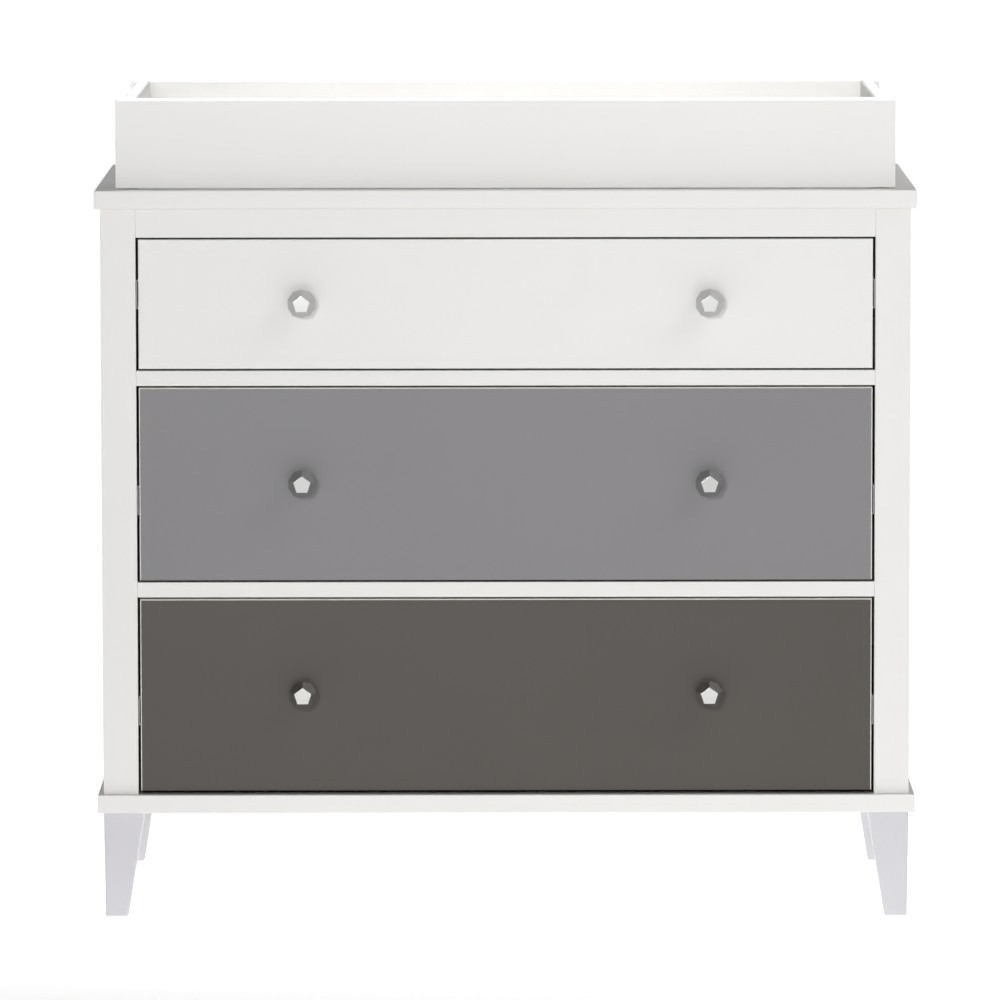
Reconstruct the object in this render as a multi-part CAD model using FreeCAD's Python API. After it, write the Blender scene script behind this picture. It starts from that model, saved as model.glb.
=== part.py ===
import FreeCAD, Part
import math
import os

# Changing dresser: a three-drawer case on four tapered feet, with a tray frame (the topper)
# screwed down on its top board.  Millimetres, +Z up, X across, the front faces -Y.
# The origin is the middle of the bounding box in X and Y, on the floor.

# ------------------------------------------------------------------ driving dimensions
# Top and bottom boards
TOP_WIDTH = 984.0
TOP_DEPTH = 482.0
BOARD_THICKNESS = 22.0
SIDE_OVERHANG = 7.0
FRONT_OVERHANG = 7.0
BOARD_EDGE_ROUND = 1.2
FRAME_EDGE_ROUND = 0.6

# Case and face frame
SIDE_THICKNESS = 16.0
STILE_WIDTH = 42.0
STILE_THICKNESS = 22.0
RAIL_HEIGHT = 18.2
TOP_RAIL_HEIGHT = 34.5
BACK_THICKNESS = 3.0
BACK_INSET = 13.0
BACK_GROOVE_DEPTH = 6.0
BACK_RAIL_THICKNESS = 16.0
BACK_RAIL_HEIGHT = 80.0
GROOVE_PLAY = 0.2

# Feet
FOOT_HEIGHT = 127.0
FOOT_TOP_WIDTH = 49.0
FOOT_BOTTOM_WIDTH = 27.0
FOOT_DRAW_IN = 1.6
FOOT_CORNER_ROUND = 2.0
FOOT_BOLT_DIAMETER = 8.0
FOOT_BOLT_IN_FOOT = 35.0
FOOT_BOLT_IN_BOARD = 17.0

# Drawers
FRONT_HEIGHT_SMALL = 155.4
FRONT_HEIGHT_LARGE = 232.4
FRONT_THICKNESS = 16.0
FRONT_EDGE_ROUND = 0.9
FRONT_SIDE_GAP = 3.2
FRONT_RAIL_GAP = 2.3
FRONT_BOARD_GAP = 4.4
BOX_BACK_CLEARANCE = 27.0
BOX_WALL = 12.0
BOX_RISE = 20.0
BOX_HEIGHT_SMALL = 120.0
BOX_HEIGHT_LARGE = 185.0
BOX_EDGE_ROUND = 1.5
BOTTOM_THICKNESS = 4.0
BOTTOM_RISE = 12.0
BOTTOM_GROOVE_DEPTH = 6.0

# Drawer slides, single extension, with balls in a cage between the two members
SLIDE_THICKNESS = 12.7
SLIDE_HEIGHT = 35.0
SLIDE_SETBACK = 2.0
SLIDE_RISE_SMALL = 88.0
SLIDE_RISE_LARGE = 95.0
SLIDE_METAL = 1.2
SLIDE_OUTER_LIP = 2.8
SLIDE_INNER_LIP = 1.8
SLIDE_NOSE = 2.9
BALL_DIAMETER = 5.0
BALL_PLAY_HEIGHT = 0.1
BALL_PLAY_SIDE = 0.15
BALL_PITCH = 15.0
BALLS_PER_ROW = 6
CAGE_METAL = 0.8
CAGE_PLAY = 0.4
CAGE_LENGTH = 90.0
CAGE_SETBACK = 152.0
CLEAT_HEIGHT = 60.0

# Knobs, a regular twelve-sided solid on a round neck
KNOB_DIAMETER = 35.0
KNOB_NECK_DIAMETER = 16.0
KNOB_NECK_LENGTH = 5.0
KNOB_SPACING = 488.0
# How far the knobs sit above the middle of each front
KNOB_RISE = 2.0
KNOB_SCREW_DIAMETER = 4.0
KNOB_SCREW_GRIP = 12.0
KNOB_SCREW_HEAD_DIAMETER = 8.5
KNOB_SCREW_HEAD_HEIGHT = 2.4

# Topper
TOPPER_INSET = 25.0
TOPPER_HEIGHT = 107.4
TOPPER_BOARD = 15.0
TOPPER_END_LAP = 9.0
TOPPER_EDGE_ROUND = 4.2
TOPPER_END_ROUND = 1.0
PAD_THICKNESS = 1.6
PAD_DIAMETER = 10.0
PAD_FROM_END = 30.0
BRACKET_LEG = 25.0
BRACKET_WIDTH = 20.0
BRACKET_METAL = 2.0
BRACKET_FROM_CORNER = 50.0

# Plate on the back, amid the back rail, for the bolt of a tip-over strap
STRAP_PLATE_WIDTH = 44.0
STRAP_PLATE_HEIGHT = 26.0
STRAP_PLATE_CORNER = 4.0
STRAP_HOLE = 5.0
STRAP_SCREW_SPACING = 28.0

# Hardware
DOWEL_DIAMETER = 8.0
DOWEL_LENGTH = 30.0
DOWEL_IN_FACE = 12.0
DOWEL_FROM_EDGE = 60.0
TOPPER_DOWEL_SPACING = 60.0
CAM_DIAMETER = 15.0
CAM_DEPTH = 12.5
CAM_FROM_END = 34.0
CAM_FROM_EDGE = 110.0
CAM_BOLT_THREAD_DIAMETER = 6.0
CAM_BOLT_THREAD_LENGTH = 11.0
CAM_BOLT_SHANK_DIAMETER = 5.0
CAM_BOLT_HEAD_DIAMETER = 7.0
CAM_BOLT_HEAD_LENGTH = 3.0
SCREW_DIAMETER = 4.0
SCREW_LENGTH = 13.0
SCREW_HEAD_DIAMETER = 8.0
SCREW_HEAD_HEIGHT = 1.2
DRAWER_SCREW_LENGTH = 9.0
SLIDE_SCREW_FROM_END = 40.0
HOLE_PLAY = 0.05
HOLE_END_PLAY = 0.5

# ------------------------------------------------------------------ worked-out places
GOLDEN = (1.0 + math.sqrt(5.0)) / 2.0
PENTAGON_RADIUS = 1.0 / (2.0 * math.sin(math.pi / 5.0))
KNOB_EDGE = KNOB_DIAMETER / 2.0 / (GOLDEN * PENTAGON_RADIUS)
KNOB_INRADIUS = KNOB_EDGE * GOLDEN ** 2 / (2.0 * math.sqrt(3.0 - GOLDEN))
KNOB_REACH = KNOB_NECK_LENGTH + 2.0 * KNOB_INRADIUS

CASE_WIDTH = TOP_WIDTH - 2.0 * SIDE_OVERHANG
CASE_DEPTH = TOP_DEPTH - FRONT_OVERHANG
FRONT_Y = -(CASE_DEPTH - KNOB_REACH) / 2.0
BACK_Y = FRONT_Y + CASE_DEPTH
BOARD_FRONT_Y = FRONT_Y - FRONT_OVERHANG
STILE_BACK_Y = FRONT_Y + STILE_THICKNESS
STILE_MID_Y = FRONT_Y + STILE_THICKNESS / 2.0
CASE_HALF = CASE_WIDTH / 2.0
SIDE_INNER = CASE_HALF - SIDE_THICKNESS
SIDE_MID = CASE_HALF - SIDE_THICKNESS / 2.0
OPENING_HALF = CASE_HALF - STILE_WIDTH
FRONT_HALF = OPENING_HALF - FRONT_SIDE_GAP
BOX_HALF = OPENING_HALF - SLIDE_THICKNESS
BOX_INNER = BOX_HALF - BOX_WALL

FLOOR_BOARD_Z = FOOT_HEIGHT
CASE_BOTTOM_Z = FLOOR_BOARD_Z + BOARD_THICKNESS
DRAWER_3_Z = CASE_BOTTOM_Z + FRONT_BOARD_GAP
RAIL_LOWER_Z = DRAWER_3_Z + FRONT_HEIGHT_LARGE + FRONT_RAIL_GAP
DRAWER_2_Z = RAIL_LOWER_Z + RAIL_HEIGHT + FRONT_RAIL_GAP
RAIL_UPPER_Z = DRAWER_2_Z + FRONT_HEIGHT_LARGE + FRONT_RAIL_GAP
DRAWER_1_Z = RAIL_UPPER_Z + RAIL_HEIGHT + FRONT_RAIL_GAP
TOP_RAIL_Z = DRAWER_1_Z + FRONT_HEIGHT_SMALL + FRONT_RAIL_GAP
CASE_TOP_Z = TOP_RAIL_Z + TOP_RAIL_HEIGHT
TOP_Z = CASE_TOP_Z + BOARD_THICKNESS
TOPPER_Z = TOP_Z + PAD_THICKNESS
TOPPER_TOP_Z = TOPPER_Z + TOPPER_HEIGHT

BACK_PANEL_Y = BACK_Y - BACK_INSET - BACK_THICKNESS
BACK_RAIL_Y = BACK_PANEL_Y - BACK_RAIL_THICKNESS

BOX_FRONT_Y = FRONT_Y + FRONT_THICKNESS
BOX_BACK_Y = BACK_RAIL_Y - BOX_BACK_CLEARANCE
SLIDE_Y = BOX_FRONT_Y + SLIDE_SETBACK
SLIDE_LENGTH = BOX_BACK_Y - SLIDE_SETBACK - SLIDE_Y
CAGE_Y = SLIDE_Y + CAGE_SETBACK

STRAP_PLATE_Y = BACK_PANEL_Y + BACK_THICKNESS
STRAP_PLATE_Z = CASE_TOP_Z - BACK_RAIL_HEIGHT / 2.0

TOPPER_HALF = TOP_WIDTH / 2.0 - TOPPER_INSET
TOPPER_FRONT_Y = BOARD_FRONT_Y + TOPPER_INSET
TOPPER_BACK_Y = BACK_Y - TOPPER_INSET
TOPPER_SIDE_OUTER = TOPPER_HALF - TOPPER_END_LAP
TOPPER_SIDE_INNER = TOPPER_SIDE_OUTER - TOPPER_BOARD
TOPPER_SIDE_MID = TOPPER_SIDE_OUTER - TOPPER_BOARD / 2.0

DOWEL_IN_EDGE = DOWEL_LENGTH - DOWEL_IN_FACE
SIDES = (-1.0, 1.0)

# Each drawer: name, height of its front's lower edge, front height, box height, slide height
DRAWERS = (
    ("drawer_1", DRAWER_1_Z, FRONT_HEIGHT_SMALL, BOX_HEIGHT_SMALL, SLIDE_RISE_SMALL),
    ("drawer_2", DRAWER_2_Z, FRONT_HEIGHT_LARGE, BOX_HEIGHT_LARGE, SLIDE_RISE_LARGE),
    ("drawer_3", DRAWER_3_Z, FRONT_HEIGHT_LARGE, BOX_HEIGHT_LARGE, SLIDE_RISE_LARGE),
)

X_AXIS = FreeCAD.Vector(1, 0, 0)
Y_AXIS = FreeCAD.Vector(0, 1, 0)
Z_AXIS = FreeCAD.Vector(0, 0, 1)


# ------------------------------------------------------------------ helpers
def block(x_range, y_range, z_range):
    """A box between pairs of coordinates, given in either order."""
    low = FreeCAD.Vector(min(x_range), min(y_range), min(z_range))
    high = FreeCAD.Vector(max(x_range), max(y_range), max(z_range))
    size = high - low
    return Part.makeBox(size.x, size.y, size.z, low)


def rod(radius, start, direction, length):
    """A cylinder from start along direction."""
    return Part.makeCylinder(radius, length, start, direction)


def along(edge, axis):
    """Whether an edge is a straight one along axis."""
    line = edge.Vertexes[-1].Point - edge.Vertexes[0].Point
    return line.Length > 0 and abs(line.normalize().dot(axis)) > 0.999


def rounded(shape, radius, wanted):
    """Round the edges for which wanted(edge) holds."""
    edges = [edge for edge in shape.Edges if wanted(edge)]
    return shape.makeFillet(radius, edges)


def front_arris(shape):
    """Ease the edges of a frame piece that lie in the front plane."""
    def in_front(edge):
        return edge.BoundBox.YMax < FRONT_Y + FRAME_EDGE_ROUND / 2.0
    return rounded(shape, FRAME_EDGE_ROUND, in_front)


def centre(edge):
    """The middle of an edge's bounding box."""
    return edge.BoundBox.Center


def save(name, solids):
    """Write one node: a single solid, or a group of separate ones."""
    shape = solids if isinstance(solids, Part.Shape) else Part.makeCompound(solids)
    shape.exportStep(os.path.join("parts", name + ".step"))
    print(name, len(shape.Solids), "valid" if shape.isValid() else "BROKEN")


# ------------------------------------------------------------------ dowels
class Dowel:
    """A dowel across a joint: point on the joint, and the way into the face-drilled board."""

    def __init__(self, x, y, z, into_face):
        self.point = FreeCAD.Vector(x, y, z)
        self.into_face = into_face

    def solid(self):
        start = self.point - self.into_face * DOWEL_IN_EDGE
        return rod(DOWEL_DIAMETER / 2.0, start, self.into_face, DOWEL_LENGTH)

    def hole(self):
        reach = DOWEL_IN_EDGE + HOLE_END_PLAY
        start = self.point - self.into_face * reach
        length = reach + DOWEL_IN_FACE + HOLE_END_PLAY
        return rod(DOWEL_DIAMETER / 2.0 + HOLE_PLAY, start, self.into_face, length)


def panel_depth_places(from_edge):
    """Two places along a side panel's depth, the same distance from its two edges."""
    return (STILE_BACK_Y + from_edge, BACK_RAIL_Y - from_edge)


def case_dowels():
    """Dowels of the case: boards to sides, boards to stiles, stiles to sides, rails."""
    dowels = []
    ends = ((CASE_TOP_Z, Z_AXIS), (CASE_BOTTOM_Z, -Z_AXIS))
    rails = (
        RAIL_LOWER_Z + RAIL_HEIGHT / 2.0,
        RAIL_UPPER_Z + RAIL_HEIGHT / 2.0,
        TOP_RAIL_Z + TOP_RAIL_HEIGHT / 2.0,
    )
    seam_heights = (
        (DRAWER_1_Z + TOP_RAIL_Z) / 2.0,
        (DRAWER_2_Z + RAIL_UPPER_Z) / 2.0,
        (DRAWER_3_Z + RAIL_LOWER_Z) / 2.0,
    )
    back_heights = (
        CASE_TOP_Z - BACK_RAIL_HEIGHT / 4.0,
        CASE_TOP_Z - BACK_RAIL_HEIGHT * 3.0 / 4.0,
    )
    for side in SIDES:
        outward = X_AXIS * side
        for z, up in ends:
            for y in panel_depth_places(DOWEL_FROM_EDGE):
                dowels.append(Dowel(side * SIDE_MID, y, z, up))
            stile_mid = side * (CASE_HALF - STILE_WIDTH / 2.0)
            dowels.append(Dowel(stile_mid, STILE_MID_Y, z, up))
        for z in seam_heights:
            dowels.append(Dowel(side * SIDE_MID, STILE_BACK_Y, z, -Y_AXIS))
        for z in rails:
            dowels.append(Dowel(side * OPENING_HALF, STILE_MID_Y, z, outward))
        for z in back_heights:
            y = BACK_RAIL_Y + BACK_RAIL_THICKNESS / 2.0
            dowels.append(Dowel(side * SIDE_INNER, y, z, outward))
    return dowels


def topper_dowels():
    """Dowels from the topper's front and back boards into the ends of its sides."""
    middle = TOPPER_Z + TOPPER_HEIGHT / 2.0
    joints = (
        (TOPPER_FRONT_Y + TOPPER_BOARD, -Y_AXIS),
        (TOPPER_BACK_Y - TOPPER_BOARD, Y_AXIS),
    )
    dowels = []
    for side in SIDES:
        for y, outward in joints:
            for lift in (-TOPPER_DOWEL_SPACING / 2.0, TOPPER_DOWEL_SPACING / 2.0):
                dowels.append(Dowel(side * TOPPER_SIDE_MID, y, middle + lift, outward))
    return dowels


def drill(shape, dowels):
    """Cut the dowel holes that reach into a board."""
    for dowel in dowels:
        hole = dowel.hole()
        if hole.BoundBox.intersect(shape.BoundBox):
            shape = shape.cut(hole)
    return shape


# ------------------------------------------------------------------ screws
class Screw:
    """A wood screw: the point under its head, the way it is driven, and its length."""

    def __init__(self, point, driven, length=SCREW_LENGTH):
        self.point = point
        self.driven = driven
        self.length = length

    def solid(self):
        shank = rod(SCREW_DIAMETER / 2.0, self.point, self.driven, self.length)
        head = rod(SCREW_HEAD_DIAMETER / 2.0, self.point, -self.driven, SCREW_HEAD_HEIGHT)
        return shank.fuse(head).removeSplitter()

    def hole(self):
        length = self.length + HOLE_END_PLAY
        return rod(SCREW_DIAMETER / 2.0 + HOLE_PLAY, self.point, self.driven, length)

    def head_hole(self):
        """The hole in a slide member, wide enough for the screw's head."""
        start = self.point - self.driven * (2.0 * SLIDE_METAL + SCREW_HEAD_HEIGHT)
        length = 2.0 * (2.0 * SLIDE_METAL + SCREW_HEAD_HEIGHT)
        return rod(SCREW_HEAD_DIAMETER / 2.0 + HOLE_PLAY, start, self.driven, length)


def screw_holes(shape, screws):
    """Cut the holes of the screws that reach into a piece."""
    for screw in screws:
        hole = screw.hole()
        if hole.BoundBox.intersect(shape.BoundBox):
            shape = shape.cut(hole)
    return shape


def slide_screw_places():
    """Three places along a slide member: near each end and in the middle."""
    first = SLIDE_Y + SLIDE_SCREW_FROM_END
    last = SLIDE_Y + SLIDE_LENGTH - SLIDE_SCREW_FROM_END
    return (first, (first + last) / 2.0, last)


def slide_heights():
    """The height of the middle of each drawer's slides."""
    return [drawer[1] + drawer[4] for drawer in DRAWERS]


def cabinet_slide_screws():
    """Screws that hold the cabinet members to the cleats."""
    screws = []
    for z in slide_heights():
        for side in SIDES:
            for y in slide_screw_places():
                point = FreeCAD.Vector(side * OPENING_HALF, y, z)
                screws.append(Screw(point, X_AXIS * side))
    return screws


def drawer_slide_screws(z):
    """Screws that hold a drawer's slide members to its sides, short of the wall's inside."""
    screws = []
    for side in SIDES:
        for y in slide_screw_places():
            point = FreeCAD.Vector(side * BOX_HALF, y, z)
            screws.append(Screw(point, -X_AXIS * side, DRAWER_SCREW_LENGTH))
    return screws


def topper_bracket_places():
    """The middle of each angle bracket along Y, near the topper's inner corners."""
    return (
        TOPPER_FRONT_Y + TOPPER_BOARD + BRACKET_FROM_CORNER,
        TOPPER_BACK_Y - TOPPER_BOARD - BRACKET_FROM_CORNER,
    )


def topper_screws():
    """One screw through each leg of each angle bracket."""
    screws = []
    reach = (BRACKET_LEG + BRACKET_METAL) / 2.0
    for side in SIDES:
        for y in topper_bracket_places():
            wall = FreeCAD.Vector(side * (TOPPER_SIDE_INNER - BRACKET_METAL), y, TOP_Z + reach)
            floor = FreeCAD.Vector(side * (TOPPER_SIDE_INNER - reach), y, TOP_Z + BRACKET_METAL)
            screws.append(Screw(wall, X_AXIS * side))
            screws.append(Screw(floor, -Z_AXIS))
    return screws


def strap_plate_screws():
    """Two screws through the strap plate and the back panel into the back rail."""
    y = STRAP_PLATE_Y + BRACKET_METAL
    places = (-STRAP_SCREW_SPACING / 2.0, STRAP_SCREW_SPACING / 2.0)
    return [Screw(FreeCAD.Vector(x, y, STRAP_PLATE_Z), -Y_AXIS) for x in places]


# ------------------------------------------------------------------ cam fittings
class CamFitting:
    """A cam disc in a side panel and its bolt in the board above or below."""

    def __init__(self, side, y, board_z, to_board):
        self.side = side
        self.joint = FreeCAD.Vector(side * SIDE_MID, y, board_z)
        self.to_board = to_board

    def pocket_centre(self):
        """The point on the panel's inner face where the disc is let in."""
        drop = self.to_board * CAM_FROM_END
        point = self.joint - drop
        return FreeCAD.Vector(self.side * SIDE_INNER, point.y, point.z)

    def disc(self):
        body = rod(CAM_DIAMETER / 2.0, self.pocket_centre(), X_AXIS * self.side, CAM_DEPTH)
        return body.cut(self.bolt_way(CAM_BOLT_HEAD_DIAMETER / 2.0 + HOLE_END_PLAY))

    def bolt_way(self, radius):
        """The bolt's passage, from the joint to just past the disc's centre."""
        length = CAM_FROM_END + CAM_BOLT_HEAD_LENGTH
        return rod(radius, self.joint, -self.to_board, length)

    def bolt(self):
        thread = rod(CAM_BOLT_THREAD_DIAMETER / 2.0, self.joint, self.to_board,
                     CAM_BOLT_THREAD_LENGTH)
        shank = rod(CAM_BOLT_SHANK_DIAMETER / 2.0, self.joint, -self.to_board, CAM_FROM_END)
        head_start = self.joint - self.to_board * (CAM_FROM_END - CAM_BOLT_HEAD_LENGTH)
        head = rod(CAM_BOLT_HEAD_DIAMETER / 2.0, head_start, -self.to_board,
                   CAM_BOLT_HEAD_LENGTH)
        return thread.fuse([shank, head]).removeSplitter()

    def panel_cut(self):
        pocket = rod(CAM_DIAMETER / 2.0 + HOLE_PLAY, self.pocket_centre(),
                     X_AXIS * self.side, CAM_DEPTH + HOLE_PLAY)
        return pocket.fuse(self.bolt_way(CAM_BOLT_HEAD_DIAMETER / 2.0 + HOLE_END_PLAY))

    def board_cut(self):
        length = CAM_BOLT_THREAD_LENGTH + HOLE_END_PLAY
        radius = CAM_BOLT_THREAD_DIAMETER / 2.0 + HOLE_PLAY
        return rod(radius, self.joint, self.to_board, length)


def cam_fittings():
    """Two fittings at each end of each side panel."""
    ends = ((CASE_TOP_Z, Z_AXIS), (CASE_BOTTOM_Z, -Z_AXIS))
    fittings = []
    for side in SIDES:
        for z, to_board in ends:
            for y in panel_depth_places(CAM_FROM_EDGE):
                fittings.append(CamFitting(side, y, z, to_board))
    return fittings


# ------------------------------------------------------------------ feet
def foot_places():
    """Each foot: name, which side, and whether it is at the front or the back."""
    return (
        ("foot_front_left", -1.0, -1.0),
        ("foot_front_right", 1.0, -1.0),
        ("foot_back_left", -1.0, 1.0),
        ("foot_back_right", 1.0, 1.0),
    )


def foot_corner(side, end):
    """The case corner above a foot, in plan."""
    return FreeCAD.Vector(side * CASE_HALF, FRONT_Y if end < 0 else BACK_Y, 0)


def foot_axis(side, end):
    """Where a foot's bolt stands, in plan: the middle of the foot's upper end."""
    inward = FOOT_TOP_WIDTH / 2.0
    return foot_corner(side, end) - FreeCAD.Vector(side * inward, end * inward, 0)


def foot_section(side, end, inset, width, z):
    """The square outline of a foot at one height."""
    corner = foot_corner(side, end)
    outer_x = corner.x - side * inset
    outer_y = corner.y - end * inset
    inner_x = outer_x - side * width
    inner_y = outer_y - end * width
    plan = ((outer_x, outer_y), (inner_x, outer_y), (inner_x, inner_y), (outer_x, inner_y))
    points = [FreeCAD.Vector(x, y, z) for x, y in plan]
    return Part.makePolygon(points + points[:1])


def foot_bolt(side, end):
    """A hanger bolt from the foot into the bottom board."""
    start = foot_axis(side, end) + Z_AXIS * (FLOOR_BOARD_Z - FOOT_BOLT_IN_FOOT)
    length = FOOT_BOLT_IN_FOOT + FOOT_BOLT_IN_BOARD
    return rod(FOOT_BOLT_DIAMETER / 2.0, start, Z_AXIS, length)


def foot_bolt_hole(side, end):
    """The hole for a hanger bolt, through foot and board."""
    low = FLOOR_BOARD_Z - FOOT_BOLT_IN_FOOT - HOLE_END_PLAY
    start = foot_axis(side, end) + Z_AXIS * low
    length = FOOT_BOLT_IN_FOOT + FOOT_BOLT_IN_BOARD + 2.0 * HOLE_END_PLAY
    return rod(FOOT_BOLT_DIAMETER / 2.0 + HOLE_PLAY, start, Z_AXIS, length)


def foot(side, end):
    """A square foot, straight outside and tapered inside, with rounded corners."""
    lower = foot_section(side, end, FOOT_DRAW_IN, FOOT_BOTTOM_WIDTH, 0.0)
    upper = foot_section(side, end, 0.0, FOOT_TOP_WIDTH, FOOT_HEIGHT)
    shape = Part.makeLoft([lower, upper], True, True)

    def below_top(edge):
        return edge.BoundBox.ZMin < FOOT_HEIGHT / 2.0
    shape = rounded(shape, FOOT_CORNER_ROUND, below_top)
    return shape.cut(foot_bolt_hole(side, end))


# ------------------------------------------------------------------ case
def case_board(z):
    """The top or bottom board with all its edges eased."""
    half = TOP_WIDTH / 2.0
    shape = block((-half, half), (BOARD_FRONT_Y, BACK_Y), (z, z + BOARD_THICKNESS))
    return shape.makeFillet(BOARD_EDGE_ROUND, shape.Edges)


def back_groove():
    """The groove for the back panel, cut into sides and boards alike."""
    half = SIDE_INNER + BACK_GROOVE_DEPTH
    y_range = (BACK_PANEL_Y - GROOVE_PLAY, BACK_PANEL_Y + BACK_THICKNESS + GROOVE_PLAY)
    z_range = (CASE_BOTTOM_Z - BACK_GROOVE_DEPTH, CASE_TOP_Z + BACK_GROOVE_DEPTH)
    return block((-half, half), y_range, z_range)


def top_panel(dowels, fittings, screws):
    shape = case_board(CASE_TOP_Z).cut(back_groove())
    for fitting in fittings:
        if fitting.to_board.z > 0:
            shape = shape.cut(fitting.board_cut())
    return screw_holes(drill(shape, dowels), screws)


def bottom_panel(dowels, fittings):
    shape = case_board(FLOOR_BOARD_Z).cut(back_groove())
    for fitting in fittings:
        if fitting.to_board.z < 0:
            shape = shape.cut(fitting.board_cut())
    for name, side, end in foot_places():
        shape = shape.cut(foot_bolt_hole(side, end))
    return drill(shape, dowels)


def side_panel(side, dowels, fittings):
    x_range = (side * SIDE_INNER, side * CASE_HALF)
    shape = block(x_range, (STILE_BACK_Y, BACK_Y), (CASE_BOTTOM_Z, CASE_TOP_Z))
    shape = shape.cut(back_groove())
    for fitting in fittings:
        if fitting.side == side:
            shape = shape.cut(fitting.panel_cut())
    return drill(shape, dowels)


def stile(side, dowels):
    x_range = (side * OPENING_HALF, side * CASE_HALF)
    shape = block(x_range, (FRONT_Y, STILE_BACK_Y), (CASE_BOTTOM_Z, CASE_TOP_Z))
    return drill(front_arris(shape), dowels)


def rail(z, height, dowels):
    x_range = (-OPENING_HALF, OPENING_HALF)
    shape = block(x_range, (FRONT_Y, STILE_BACK_Y), (z, z + height))
    return drill(front_arris(shape), dowels)


def strap_bolt_hole():
    """The strap bolt's hole, from the plate through back panel and back rail."""
    start = FreeCAD.Vector(0, BACK_RAIL_Y, STRAP_PLATE_Z)
    length = STRAP_PLATE_Y + BRACKET_METAL - BACK_RAIL_Y
    return rod(STRAP_HOLE / 2.0, start, Y_AXIS, length)


def back_rail(dowels, screws):
    x_range = (-SIDE_INNER, SIDE_INNER)
    z_range = (CASE_TOP_Z - BACK_RAIL_HEIGHT, CASE_TOP_Z)
    shape = block(x_range, (BACK_RAIL_Y, BACK_PANEL_Y), z_range).cut(strap_bolt_hole())
    return screw_holes(drill(shape, dowels), screws)


def back_panel(screws):
    reach = BACK_GROOVE_DEPTH - HOLE_END_PLAY
    half = SIDE_INNER + reach
    z_range = (CASE_BOTTOM_Z - reach, CASE_TOP_Z + reach)
    shape = block((-half, half), (BACK_PANEL_Y, BACK_PANEL_Y + BACK_THICKNESS), z_range)
    return screw_holes(shape.cut(strap_bolt_hole()), screws)


def strap_plate(screws):
    """A flat plate behind the back rail, with rounded corners."""
    x_range = (-STRAP_PLATE_WIDTH / 2.0, STRAP_PLATE_WIDTH / 2.0)
    y_range = (STRAP_PLATE_Y, STRAP_PLATE_Y + BRACKET_METAL)
    z_range = (STRAP_PLATE_Z - STRAP_PLATE_HEIGHT / 2.0, STRAP_PLATE_Z + STRAP_PLATE_HEIGHT / 2.0)
    shape = block(x_range, y_range, z_range)
    shape = rounded(shape, STRAP_PLATE_CORNER, lambda edge: along(edge, Y_AXIS))
    return screw_holes(shape.cut(strap_bolt_hole()), screws)


def slide_cleats(screws):
    """Wooden cleats that bring the slides in line with the stiles' inner edges."""
    cleats = []
    for z in slide_heights():
        z_range = (z - CLEAT_HEIGHT / 2.0, z + CLEAT_HEIGHT / 2.0)
        for side in SIDES:
            x_range = (side * OPENING_HALF, side * SIDE_INNER)
            y_range = (STILE_BACK_Y, SLIDE_Y + SLIDE_LENGTH)
            cleat = block(x_range, y_range, z_range)
            cleats.append(screw_holes(cleat, screws))
    return cleats


# ------------------------------------------------------------------ drawer slides
SLIDE_HALF = SLIDE_HEIGHT / 2.0
INNER_HALF = SLIDE_HALF - SLIDE_METAL - BALL_DIAMETER - 2.0 * BALL_PLAY_HEIGHT
OUTER_REACH = SLIDE_NOSE + 2.0 * SLIDE_METAL + BALL_DIAMETER + 2.0 * BALL_PLAY_SIDE
BALL_OUT = SLIDE_NOSE + SLIDE_METAL + BALL_PLAY_SIDE + BALL_DIAMETER / 2.0
BALL_RISE = INNER_HALF + BALL_PLAY_HEIGHT + BALL_DIAMETER / 2.0


def run_of(points, side, z, y, length):
    """A slide section, given as (distance from the cabinet side, height), drawn out along Y."""
    placed = [
        FreeCAD.Vector(side * (OPENING_HALF - out), y, z + rise)
        for out, rise in points
    ]
    outline = Part.makePolygon(placed + placed[:1])
    return Part.Face(outline).extrude(Y_AXIS * length)


def cabinet_member(side, z):
    """The channel fixed to the cabinet, with its two edges turned in over the balls."""
    metal = SLIDE_METAL
    half = SLIDE_HALF
    inside = half - metal
    lip = half - SLIDE_OUTER_LIP
    reach = OUTER_REACH
    points = [
        (0, -half), (reach, -half), (reach, -lip), (reach - metal, -lip),
        (reach - metal, -inside), (metal, -inside),
        (metal, inside), (reach - metal, inside),
        (reach - metal, lip), (reach, lip), (reach, half), (0, half),
    ]
    return run_of(points, side, z, SLIDE_Y, SLIDE_LENGTH)


def drawer_member(side, z):
    """The channel fixed to the drawer, with its two edges turned out under the balls."""
    metal = SLIDE_METAL
    half = INNER_HALF
    inside = half - metal
    lip = half + SLIDE_INNER_LIP
    nose = SLIDE_NOSE
    web = SLIDE_THICKNESS
    points = [
        (nose, -lip), (nose + metal, -lip), (nose + metal, -half), (web, -half),
        (web, half), (nose + metal, half), (nose + metal, lip), (nose, lip),
        (nose, inside), (web - metal, inside), (web - metal, -inside), (nose, -inside),
    ]
    return run_of(points, side, z, SLIDE_Y, SLIDE_LENGTH)


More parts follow.
